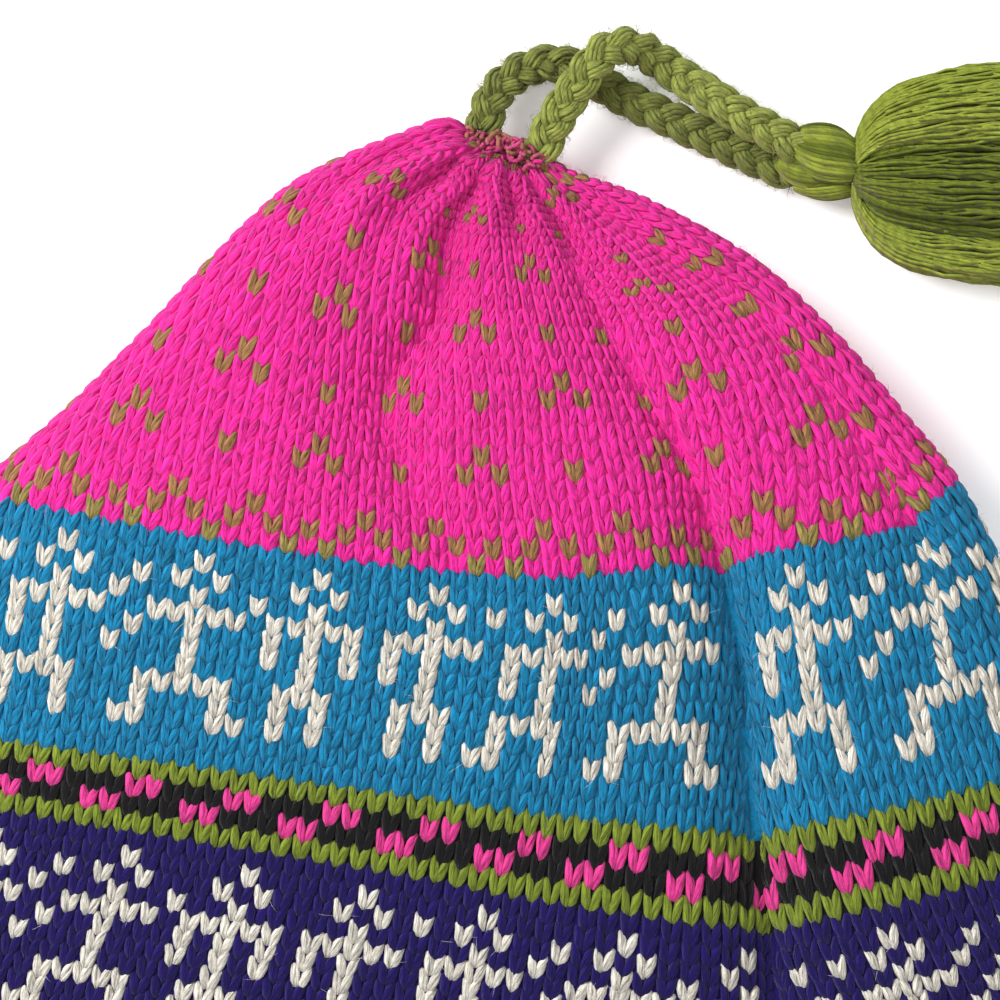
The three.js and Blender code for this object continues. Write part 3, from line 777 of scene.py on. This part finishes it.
def leg_points(side):
    """Points of the left (-1) or right (1) leg: sections are ellipses along the bowed axis, given as steps
    across, up the row and outward, with a pole at either end."""
    inner = slice(1, -1)
    wide = LEG_HALF_WIDTH[inner, None] * np.cos(LEG_ANGLES)
    aside = side * LEG_ASIDE[inner, None] + wide
    rise = LEG_RISE[inner, None] - side * LEG_SLANT * wide
    lift = LEG_LIFT[inner, None] + LEG_HALF_THICKNESS[inner, None] * np.sin(LEG_ANGLES)
    body = np.stack([aside, rise, lift], axis=-1).reshape(-1, 3)
    poles = np.stack([side * LEG_ASIDE[[0, -1]], LEG_RISE[[0, -1]], LEG_LIFT[[0, -1]]], axis=1)
    return np.concatenate([body, poles])


LEG_QUADS, LEG_TRIANGLES, LEG_UV = tube_faces(LEG_STATIONS[1:-1], LEG_SIDES, turned=True)
print("one leg:", len(LEG_QUADS), "quads and", len(LEG_TRIANGLES), "triangles")

# %% [markdown]
# No two stitches of hand knitting are alike, so every leg is moved, swollen and shaded a little at random.
# Out of the front's stitches stand single fibres, as on the cords.

# %% Knitting and its fibres
EASE = 0.7  # share by which a stitch stands upright where the cloth leans
LEG_SHIFT, POINT_SHIFT = 0.035, 0.018  # in stitch widths and rows
LEG_SWELL, LEG_SHADE = 0.06, 0.05
LOWEST_STITCH = 0.02  # mm above the table
FIBRES_PER_STITCH, FIBRE_LENGTHS = 1.2, (1.2, 3.4)  # lengths in mm
FIBRE_ROOTS = (-0.4, 0.4)  # shares of a stitch from its middle
FIBRE_BEND, BEND_HEIGHTS, END_HEIGHTS = 0.4, (1.2, 3.2), (0.6, 2.4)  # share of its length, then mm


def knit(name, places, stitch_colours, seed):
    """Piece of knitting: both legs of every stitch. A leg's point is the stitch's middle plus its steps
    times the stitch's directions."""
    middle, across, rise, outward = places[:4]
    lean = (rise * unit(across)).sum(axis=1, keepdims=True)
    rise = rise - EASE * lean * unit(across)
    shape = np.stack([leg_points(1), leg_points(-1)])[None]
    rng = np.random.default_rng(seed)
    count, each = len(middle), shape.shape[2]
    legs = 2 * count
    shift = rng.normal(0.0, LEG_SHIFT, (count, 2, 1, 2)) + rng.normal(0.0, POINT_SHIFT, (count, 2, each, 2))
    swell = 1 + rng.normal(0.0, LEG_SWELL, (count, 2, 1, 1))
    spread = lambda vectors: vectors[:, None, None, :]
    points = (spread(middle) + (shape[..., :1] + shift[..., :1]) * spread(across)
              + (shape[..., 1:2] + shift[..., 1:]) * spread(rise)
              + shape[..., 2:] * swell * spread(outward)).reshape(-1, 3)
    points[:, 2] = np.maximum(points[:, 2], LOWEST_STITCH)
    shade = 1 + rng.normal(0.0, LEG_SHADE, (count, 2, 1))
    legs_rgb = (stitch_colours[:, None] * shade).reshape(-1, 3)
    colours = np.concatenate([legs_rgb, rng.uniform(0, 1, (legs, 1))], axis=1)
    quads, triangles, yarn_uv, bake_uv = repeat_shape(legs, each, LEG_QUADS, LEG_TRIANGLES, LEG_UV)
    piece = new_piece(name, points, quads, triangles, np.repeat(colours, each, axis=0), yarn_uv, bake_uv)
    piece.data.materials.append(KNIT_WOOL)
    print(name, count, "stitches,", 2 * len(quads) + len(triangles), "triangles")


def stray_fibres(name, places, stitch_colours, seed):
    """Fibres that stand out of the stitches that face up: each rises out of a stitch and bends over
    sideways."""
    rng = np.random.default_rng(seed)
    facing_up = np.flatnonzero(places.outward[:, 2] > 0)
    count = int(FIBRES_PER_STITCH * len(facing_up))
    chosen = rng.choice(facing_up, count)
    middle, across, rise, outward = [vectors[chosen] for vectors in places[:4]]
    random = draws(rng, count)
    angle, length = random(0, 2 * np.pi), random(*FIBRE_LENGTHS)
    sideways = (unit(across) * np.cos(angle) + unit(rise) * np.sin(angle)) * length
    start = middle + across * random(*FIBRE_ROOTS) + rise * random(*FIBRE_ROOTS)
    bend = start + sideways * FIBRE_BEND + outward * random(*BEND_HEIGHTS)
    end = start + sideways + outward * random(*END_HEIGHTS)
    fibres(name, start, bend, end, stitch_colours[chosen] * random(*FIBRE_SHADES), rng)


print("knitting helpers ready")

# %% [markdown]
# The crown is hot pink with a zigzag of olive in its first rows and dots of one and of three stitches
# above. It is knitted round and drawn together at its top, so its rows get shorter there and the first
# fold hides some of its wales. The back is a piece of its own, with its wales counted off from its middle.

# %% Knit the crown
PINK, OLIVE, FIRST_OLIVE = srgb(240, 38, 156), srgb(158, 116, 74), srgb(146, 130, 72)
DOT_REPEAT = 10  # wales from one dot of a row to the next
ZIGZAG_ROW = np.array([1, 0, 1, 0, 1, 2, 1, 0, 1, 2])  # row of the olive stitch in each wale of the repeat
DOT_ROWS = [  # wale of the repeat, rows of the single dots, rows of the triple dots' feet
    (2, (9, 17), (5, 13, 21)),
    (7, (5, 13, 21), (9, 17)),
]
OLIVE_TOP_ROW = 28  # counted row from which some stitches of the gathered top are olive
FOLD_ROW = 14  # from this row up the first fold hides some wales
CLOSE_ROW = 20  # from this row up the knitted rows are shorter
CLOSE_STEPS, RIGHT_STEPS = 7, 9  # knitted rows above CLOSE_ROW, and on the right from FOLD_ROW up to it
TOP_EDGES = [25.8, 26.6, 27.3]  # of the rows on the gathered top


def choose(mask, yes, no):
    """Colour yes where the mask is true, otherwise no."""
    return np.where(mask[:, None], yes, no)


def crown_yarns(places):
    """Yarn colours of the crown's stitches: olive in the zigzag, in single and triple dots and in two of
    five stitches at the gathered top, and pink elsewhere. The first row's olive is greener."""
    wale, row = places.wale, places.row
    olive = ZIGZAG_ROW[wale % DOT_REPEAT] == row
    for dot_wale, singles, triples in DOT_ROWS:
        aside = (wale - dot_wale + DOT_REPEAT // 2) % DOT_REPEAT - DOT_REPEAT // 2
        olive |= (aside == 0) & np.isin(row, singles)
        olive |= (np.abs(aside) == 1) & np.isin(row, triples)
        olive |= (aside == 0) & np.isin(row - 1, triples)
    olive |= (row >= OLIVE_TOP_ROW) & ((7 * wale + 3 * row) % 5 < 2)
    return choose(olive, choose(row == 0, FIRST_OLIVE, OLIVE), PINK)


low_edges = np.arange(CROWN_ROW, FOLD_ROW + 1)
top_edges = np.concatenate([np.linspace(CLOSE_ROW, TOP_ROW, CLOSE_STEPS + 1)[1:], TOP_EDGES])
high_edges = np.concatenate([np.arange(FOLD_ROW, CLOSE_ROW + 1), top_edges])
right_edges = np.concatenate([np.linspace(FOLD_ROW, CLOSE_ROW, RIGHT_STEPS + 1), top_edges])
crown_places = joined([gather_rows(low_edges, ("crown_low", "crown_3", "crown_4")),
                       gather_rows(high_edges, ("crown_1", "crown_2")),
                       gather_rows(right_edges, ("crown_3", "crown_4"))])
crown_colours = crown_yarns(crown_places)
knit("crown_knit", crown_places, crown_colours, 21)
stray_fibres("crown_fibres", crown_places, crown_colours, 31)
back_places = gather_rows(np.concatenate([low_edges, high_edges[1:]]), ("crown_back",))
knit("crown_back_knit", back_places, crown_yarns(back_places), 26)

# %% [markdown]
# Below the crown come two bands of dancers, one blue and one purple, and a band of stripes between them.
# The dancers are one chart of 25 stitches, drawn here row by row as a knitter would read it, and it goes
# round the cap five times. The stripes are a chart too. At the bottom a plain hem closes the rim.

# %% Knit the bands
BLUE, CREAM = srgb(12, 125, 170), srgb(218, 212, 200)
STRIPE_GREEN, BLACK, STRIPE_PINK = srgb(122, 138, 42), srgb(14, 11, 14), srgb(228, 62, 146)
PURPLE = srgb(26, 8, 90)
DANCERS = [
    "...#......#.....#.....#..",
    "#.#.#..#.#.#...#.#...#.#.",
    "...#..#...#..#..#.....#..",
    ".#####..#####.#####.#####",
    ".#.#...#..#...#.#.#.#.#..",
    ".#.#..#...#...#.#.#.#.#..",
    "...#......#.....#.....#..",
    ".####...#####..###...###.",
    ".#..#...#...#..#.#...#.#.",
    "##..#..##...##.#.#...#.#.",
]
DANCER_WALE = 3  # the chart's column that lies on wale number 0
BLUE_TOP, PURPLE_TOP = -2, -19  # the dancers' top rows
STRIPES = ["GGGGG", "PP...", "...PP", "GGGGG"]  # from the top row down: green, pink and black
STRIPE_YARNS = {"G": STRIPE_GREEN, "P": STRIPE_PINK, ".": BLACK}
STRIPE_WALE = 1  # the wale number that the chart's first column lies on
WALL = 3.0  # mm from the outside of the cloth to its inside
CREASE_HALF_WIDTH = 3.4


def dancer_stitches(places, top_row):
    """True where the dancers' chart has cream: its row counted down from its top, its column by wale."""
    chart = np.array([[mark == "#" for mark in line] for line in DANCERS])
    down = top_row - places.row
    inside = (down >= 0) & (down < len(chart))
    column = (places.wale + DANCER_WALE) % chart.shape[1]
    return inside & chart[np.clip(down, 0, len(chart) - 1), column]


def in_crease(places):
    """True for the stitches at the bottom of the sharp second fold. On the real cap the deep crease hides
    them in its shade, so giving them the ground colour is painted shade.
    """
    crease_x = smooth(SECTION_ROWS, np.array(SECTION_LINES["fold2"], float)[:, 0], places.row + 0.5)
    return (np.abs(places.middle[:, 0] - crease_x) < CREASE_HALF_WIDTH) & (places.middle[:, 2] > WALL)


def figure_band(name, edges, top_row, ground, knit_seed, fibre_seed):
    """Band of cream dancers on its ground colour, with its fibres."""
    places = gather_rows(edges, BAND_STRETCHES)
    # in the crease the cream stitches take the ground colour, as painted shade
    colours = choose(dancer_stitches(places, top_row) & ~in_crease(places), CREAM, ground)
    knit(name + "_knit", places, colours, knit_seed)
    stray_fibres(name + "_fibres", places, colours, fibre_seed)


def stripe_yarns(places):
    """Yarn colours of the stripes: the chart's row counted down from the blue band, its column by wale."""
    chart = np.array([[STRIPE_YARNS[mark] for mark in line] for line in STRIPES])
    return chart[BLUE_ROW - 1 - places.row, (places.wale - STRIPE_WALE) % chart.shape[1]]


figure_band("blue_figure", np.arange(BLUE_ROW, CROWN_ROW + 1), BLUE_TOP, BLUE, 22, 32)
stripe_places = gather_rows(np.arange(STRIPE_ROW, BLUE_ROW + 1), BAND_STRETCHES)
knit("stripe_knit", stripe_places, stripe_yarns(stripe_places), 23)
figure_band("purple_figure", np.arange(PURPLE_ROW, STRIPE_ROW + 1), PURPLE_TOP, PURPLE,
            24, 34)
hem_places = gather_rows(np.arange(HEM_ROW, PURPLE_ROW + 1), BAND_STRETCHES)
hem_colours = choose(hem_places.row == HEM_ROW, STRIPE_GREEN, PURPLE)
knit("hem_knit", hem_places, hem_colours, 25)

# %% [markdown]
# Behind the stitches runs the rest of the cloth: the floats of the unused yarn and the purl side that
# shows in the mouth. Modelling them loop by loop would double the mesh for what is hardly seen. So it is
# a wall, whose outside runs among the stitches and closes the chinks between them. Its inside lies a wall's
# thickness deeper, and it is closed at its ends.

# %% Cloth behind the stitches
CLOTH_OUTSIDE = -0.15  # depth of the cloth's outside in mm, so a little out of the solid
CLOTH_COLUMNS = 120
CLOTH_END = 0.02  # share of a row that is left free between two bands
# Painted shade: the pink, blue and purple cloth among the stitches is a little darker than its yarn.
CLOTH_PAINTED_SHADE, CLOTH_SEED = 0.92, 0.5
LOWEST_CLOTH = 0.1  # mm above the table
SIDE_STEP, ROW_STEP = 0.004, 0.5  # steps along and between rows from which a wall's direction is found


def wall_grid(rows, depth):
    """Grid of points a given depth inside the cap's outside, row by row."""
    share = np.arange(CLOTH_COLUMNS) / CLOTH_COLUMNS
    at_share = lambda row, shares: on_ring(row, shares * ring(row)[1][-1])
    grid = []
    for row in rows:
        across = at_share(row, share + SIDE_STEP) - at_share(row, share - SIDE_STEP)
        rise = at_share(row + ROW_STEP, share) - at_share(row - ROW_STEP, share)
        grid.append(at_share(row, share) - depth * unit(np.cross(across, rise)))
    return np.array(grid)


def cloth(name, node, first, last, colour):
    """Wall between an outer grid and an inner grid, joined round their ends."""
    rows = np.linspace(first + CLOTH_END, last - CLOTH_END, int(2 * (last - first)) + 1)
    outer = wall_grid(rows, CLOTH_OUTSIDE)
    inner = wall_grid(rows, WALL)[::-1]
    points = np.concatenate([outer, inner]).reshape(-1, 3)
    points[:, 2] = np.maximum(points[:, 2], LOWEST_CLOTH)
    count, columns = 2 * len(rows), CLOTH_COLUMNS
    first_ring = np.arange(columns)
    last_ring = (count - 1) * columns + first_ring
    seam = np.stack([last_ring, np.roll(last_ring, -1), np.roll(first_ring, -1), first_ring], axis=1)
    quads = np.concatenate([grid_quads(count, columns, True), seam])
    colours = np.broadcast_to([*colour, CLOTH_SEED], (len(points), 4))
    column, line = quads % columns, quads // columns
    column = np.where((column == 0) & (column.max(axis=1, keepdims=True) > 1), columns, column)
    row_number = np.concatenate([rows, rows[::-1]])
    yarn_uv = np.stack([row_number[line], column * ROUND / columns], axis=-1).reshape(-1, 2)
    bake_uv = np.stack([column / columns, line / count], axis=-1).reshape(-1, 2)
    piece = new_piece(name, points, quads, None, colours, yarn_uv, bake_uv)
    piece.data.materials.append(FLOAT_WOOL)
    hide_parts(node)
    print(name, len(piece.data.polygons), "faces")


cloth("crown_cloth", "crown", CROWN_ROW, TOP_ROW + TOP_ROWS, PINK * CLOTH_PAINTED_SHADE)
cloth("blue_figure_cloth", "blue_figure_band", BLUE_ROW, CROWN_ROW, BLUE * CLOTH_PAINTED_SHADE)
cloth("stripe_cloth", "stripe_band", STRIPE_ROW, BLUE_ROW, BLACK)
cloth("purple_figure_cloth", "purple_figure_band", PURPLE_ROW, STRIPE_ROW, PURPLE * CLOTH_PAINTED_SHADE)
cloth("hem_cloth", "hem", HEM_ROW, PURPLE_ROW, PURPLE * CLOTH_PAINTED_SHADE)

# %% [markdown]
# The tassel's skirt is loose yarn that bulges out of a tied neck all round, fans out and lies down on the
# table in slow waves. Hair would be quick to grow, but its strands would have to be combed. Here every
# strand is worked out from its place in a bundle, and four bundles lie side by side. Their greens differ
# by painted light and shade: the top bundle is lighter, the middle one and the low flat one darker.

# %% Skirt of the tassel
NECK = np.array([75.4, 97.8, 6.6])
NECK_HALF_WIDTH, NECK_HALF_HEIGHT, NECK_JITTER = 4.2, 3.0, 0.6
SKIRT_LENGTH, SKIRT_HALF_WIDTH, SKIRT_THICKNESS = 91.0, 25.3, 21.0
SKIRT_STEPS, SKIRT_SIDES, STRAND_RADIUS = 22, 3, 0.46
STEP_POWER = 1.7  # the steps along a strand are closest at the neck
SWING_REACH, SPREAD_REACH = 0.042, 0.35  # shares of the length
FIRST_SPREAD, LATER_SPREAD = 0.62, 0.38  # shares of the full width
NECK_CURVE = 1.5  # mm that the outermost strands start behind the middle ones
OVAL_HEIGHT, SETTLE = 0.94, 0.22  # shares of the half height
WAVES, CRIMPS = (0.8, 2.0), (6, 9)  # turns along a strand
WAVE_ASIDE, WAVE_UP, CRIMP_ASIDE, CRIMP_UP = 0.8, 0.5, 0.3, 0.25  # mm
INNERMOST, CROWDING = 0.05, 0.25  # few strands lie inside a bundle, most near its surface
SHORTEST = 0.9  # share of the skirt's length
HELD = 0.25  # share of the length over which the waves grow to their full size
# The lightness of a bundle is painted light and shade: the top bundle is lighter as painted light, the
# middle one and the low flat fourth are darker as painted shade; within a bundle the greens differ at
# random.
LIT_AND_SHADED_BUNDLES = [  # strands, middle and half width as shares of the skirt's, thickness share, lightness
    (470, 0.60, 0.40, 0.96, (0.5, 0.95)),
    (430, -0.05, 0.52, 0.88, (0.0, 0.3)),
    (290, -0.78, 0.22, 0.62, (0.4, 0.8)),
    (200, -0.1, 0.8, 0.35, (0.0, 0.2)),
]


def bundle_lines(strands, middle, half, thick, rng):
    """Strands of one bundle: from the neck each swings out to its place in a flat oval within a few
    millimetres, 1 - exp(-t / SWING_REACH), then spreads on slowly, FIRST_SPREAD + LATER_SPREAD
    (1 - exp(-t / SPREAD_REACH)), with slow waves and the small crimp of unravelled yarn."""
    radius = rng.uniform(INNERMOST, 1.0, strands) ** CROWDING
    angle = rng.uniform(0, 2 * np.pi, strands)
    aside = (middle + half * radius * np.cos(angle))[:, None]
    height = (radius * np.sin(angle))[:, None]
    t = np.linspace(0.0, 1.0, SKIRT_STEPS)[None] ** STEP_POWER
    out = 1 - np.exp(-t / SWING_REACH)
    spread = FIRST_SPREAD + LATER_SPREAD * (1 - np.exp(-t / SPREAD_REACH))
    length = SKIRT_LENGTH * rng.uniform(SHORTEST, 1.0, (strands, 1))
    turns = lambda low, high: rng.uniform(low, high, (strands, 2, 1)) * t[:, None]
    wave = 2 * np.pi * (turns(*WAVES) + rng.uniform(0, 1, (strands, 2, 1)))
    crimp = 2 * np.pi * (turns(*CRIMPS) + rng.uniform(0, 1, (strands, 2, 1)))
    free = np.minimum(1.0, t / HELD)
    start_y = NECK_HALF_WIDTH * aside + rng.normal(0, NECK_JITTER, (strands, 1))
    start_z = NECK[2] + NECK_HALF_HEIGHT * height
    half_height = SKIRT_THICKNESS * thick / 2
    x = NECK[0] - NECK_CURVE * np.abs(aside) * out + length * t
    y = NECK[1] + start_y * (1 - out) + aside * SKIRT_HALF_WIDTH * out * spread
    y = y + free * (WAVE_ASIDE * np.sin(wave[:, 0]) + CRIMP_ASIDE * np.sin(crimp[:, 0]))
    z = start_z * (1 - out) + out * half_height * (1 + OVAL_HEIGHT * height) * (1 - SETTLE * t)
    z = z + free * (WAVE_UP * np.sin(wave[:, 1]) + CRIMP_UP * np.sin(crimp[:, 1]))
    return np.stack([x, y, z], axis=-1)


def green_mix(count, lightness, rng):
    """Greens at random between two lightnesses, of which 0 is the dark and 1 the light green."""
    mix = rng.uniform(*lightness, (count, 1))
    return GREEN_DARK * (1 - mix) + GREEN_LIGHT * mix


def tassel_skirt():
    """Loose yarn of the skirt: thin tubes along the strands of all the bundles."""
    rng = np.random.default_rng(31)
    lines = np.concatenate([bundle_lines(*bundle[:4], rng) for bundle in LIT_AND_SHADED_BUNDLES])
    lines[:, :, 2] = np.maximum(lines[:, :, 2], STRAND_RADIUS)
    # each bundle's greens: painted light on the top bundle, painted shade on the middle and low flat ones
    colours = np.concatenate([green_mix(bundle[0], bundle[4], rng) for bundle in LIT_AND_SHADED_BUNDLES])
    radii = np.full(lines.shape[:2], STRAND_RADIUS)
    return yarn_tubes("tassel_skirt", lines, radii, SKIRT_SIDES, colours, TASSEL_WOOL, rng)


skirt = tassel_skirt()
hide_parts("tassel")

# %% [markdown]
# The knot joins the plaits to the skirt. On the real tassel it is yarn wound over itself into three lobes.
# Each lobe is a spindle of strands that lie side by side round its axis and turn a little along it.

# %% Knot of the tassel
LOBES = [  # start, end, radius of a lobe of the knot, and its number of strands
    ((63.6, 105.0, 8.8), (77.0, 98.8, 6.8), 5.3, 44),
    ((60.4, 101.4, 7.0), (69.6, 96.8, 5.6), 3.3, 26),
    ((63.4, 96.6, 4.4), (76.0, 95.6, 5.4), 3.0, 24),
]
KNOT_YARN, KNOT_STEPS, KNOT_SIDES = 0.5, 18, 5  # radius of its yarn in mm, sections, sides
LOBE_ENDS = (0.02, 0.98)  # shares of a lobe's axis
LOBE_TURN = 0.8  # radians along a lobe
LOBE_NECK, LOBE_BULGE, LOBE_POWER = 0.4, 0.6, 0.7
LOBE_JITTER, KNOT_GREENS = 0.05, (0.0, 0.9)


def tassel_knot():
    """Yarn of the knot, in lobes: a lobe's strand k lies at angle k round its axis, at its radius times
    LOBE_NECK + LOBE_BULGE sin(pi t)^LOBE_POWER from it."""
    rng = np.random.default_rng(32)
    t = np.linspace(*LOBE_ENDS, KNOT_STEPS)[None, :, None]
    profile = LOBE_NECK + LOBE_BULGE * np.sin(np.pi * t) ** LOBE_POWER
    lines = []
    for start, end, radius, count in LOBES:
        start, end = np.array(start), np.array(end)
        ahead = unit(end - start)
        across = unit(np.cross(ahead, UP))
        angle = 2 * np.pi * np.arange(count)[:, None, None] / count + LOBE_TURN * t
        bulge = radius * profile * rng.normal(1, LOBE_JITTER, (count, 1, 1))
        around = np.cos(angle) * across + np.sin(angle) * np.cross(across, ahead)
        lines.append(start + (end - start) * t + bulge * around)
    lines = np.concatenate(lines)
    lines[:, :, 2] = np.maximum(lines[:, :, 2], KNOT_YARN)
    radii = np.full(lines.shape[:2], KNOT_YARN)
    colours = green_mix(len(lines), KNOT_GREENS, rng)
    return yarn_tubes("tassel_knot", lines, radii, KNOT_SIDES, colours, KNOT_WOOL, rng)


knot = tassel_knot()

# %% [markdown]
# Where the plaits are sewn on, small curls of olive and pink yarn crowd round their feet and between them.
# Each curl is an arc of a circle of random size, place and tilt, which is enough for bits of yarn that
# are only a few millimetres long.

# %% Curls round the plaits' feet
CURLS_PER_FOOT = 60
CURL_RADIUS, CURL_STEPS, CURL_SIDES = 0.42, 8, 4
CURL_TURN = 0.9 * np.pi
CURL_SIZES, CURL_PLACES, CURL_DEPTHS = (0.9, 1.7), (1.5, 5.0), (-3.2, -0.5)  # mm
CURL_HUMP = 1.8  # how far the curls between the feet stand out
CURL_FLATNESS = 0.8  # height of the ring of curls, as a share of its width
CURL_PINK, CURL_SHADES = PINK * 0.8, (0.8, 1.1)


def cord_feet():
    """Curls round both feet and between them, each of a random mix of the two yarns."""
    rng = np.random.default_rng(41)
    along_top, facing = top_directions()
    between = (left_line[0] + right_line[0]) / 2 + facing * CURL_HUMP
    feet = np.repeat([left_line[0], right_line[0], between], CURLS_PER_FOOT, axis=0)
    count = len(feet)
    random = draws(rng, count)
    angle, away = random(0, 2 * np.pi), random(*CURL_PLACES)
    around = np.cos(angle) * along_top + CURL_FLATNESS * np.sin(angle) * UP
    middle = feet + away * around + facing * random(*CURL_DEPTHS)
    first = unit(rng.normal(0, 1, (count, 3)))
    second = unit(np.cross(first, rng.normal(0, 1, (count, 3))))
    turn = np.linspace(0, CURL_TURN, CURL_STEPS)[None, :, None]
    size = random(*CURL_SIZES)[:, None]
    lines = middle[:, None] + size * (np.cos(turn) * first[:, None] + np.sin(turn) * second[:, None])
    mix = random(0, 1)
    colours = (OLIVE * (1 - mix) + CURL_PINK * mix) * random(*CURL_SHADES)
    radii = np.full((count, CURL_STEPS), CURL_RADIUS)
    return yarn_tubes("cord_feet", lines, radii, CURL_SIDES, colours, KNOT_WOOL, rng)


cord_feet()

# %% [markdown]
# The plaits' lengths along their routes are printed. The tassel is on their far end.


print("cords:", round(left_length, 1), "and", round(right_length, 1), "mm")

# %% [markdown]
# The table is a plain pale floor, and large soft lights stand round the camera, the strongest from the
# upper left. Soft light from one side shows every stitch without hard shadows. The floor glows a little,
# so that it stays as pale as a white sheet.

# %% Floor and light
FLOOR_HALF = 1.5
LIGHT_TARGET = np.array([0.0, 0.03, 0.02])
floor_mesh = bpy.data.meshes.new("floor")
floor_mesh.from_pydata([(-FLOOR_HALF, -FLOOR_HALF, 0), (FLOOR_HALF, -FLOOR_HALF, 0),
                        (FLOOR_HALF, FLOOR_HALF, 0), (-FLOOR_HALF, FLOOR_HALF, 0)], [], [(0, 1, 2, 3)])
floor = bpy.data.objects.new("floor", floor_mesh)
bpy.context.collection.objects.link(floor)
floor_material = bpy.data.materials.new("pale_floor")
floor_material.use_nodes = True
floor_shader = floor_material.node_tree.nodes["Principled BSDF"]
floor_shader.inputs["Base Color"].default_value = (0.9, 0.9, 0.9, 1.0)
floor_shader.inputs["Roughness"].default_value = 0.9
floor_shader.inputs["Emission Color"].default_value = (1.0, 1.0, 1.0, 1.0)
floor_shader.inputs["Emission Strength"].default_value = 0.25
floor_mesh.materials.append(floor_material)


def soft_light(name, place, size, power):
    """Square area light at a place in metres, turned towards the cap."""
    data = bpy.data.lights.new(name, "AREA")
    data.size = size
    data.energy = power
    light = bpy.data.objects.new(name, data)
    place = np.asarray(place, float)
    light.location = place
    ahead = unit(LIGHT_TARGET - place)
    flat = np.hypot(ahead[0], ahead[1])
    light.rotation_euler = (np.arctan2(flat, -ahead[2]), 0.0, np.arctan2(-ahead[0], ahead[1]))
    bpy.context.collection.objects.link(light)


soft_light("window", (-0.9, 0.6, 1.0), 0.6, 23.0)
soft_light("fill", (0.8, -0.3, 1.3), 1.0, 5.0)
world = bpy.data.worlds.new("studio")
bpy.context.scene.world = world
world.use_nodes = True
world.node_tree.nodes["Background"].inputs["Color"].default_value = (1.0, 1.0, 1.0, 1.0)
world.node_tree.nodes["Background"].inputs["Strength"].default_value = 0.5
print("floor and lights ready")
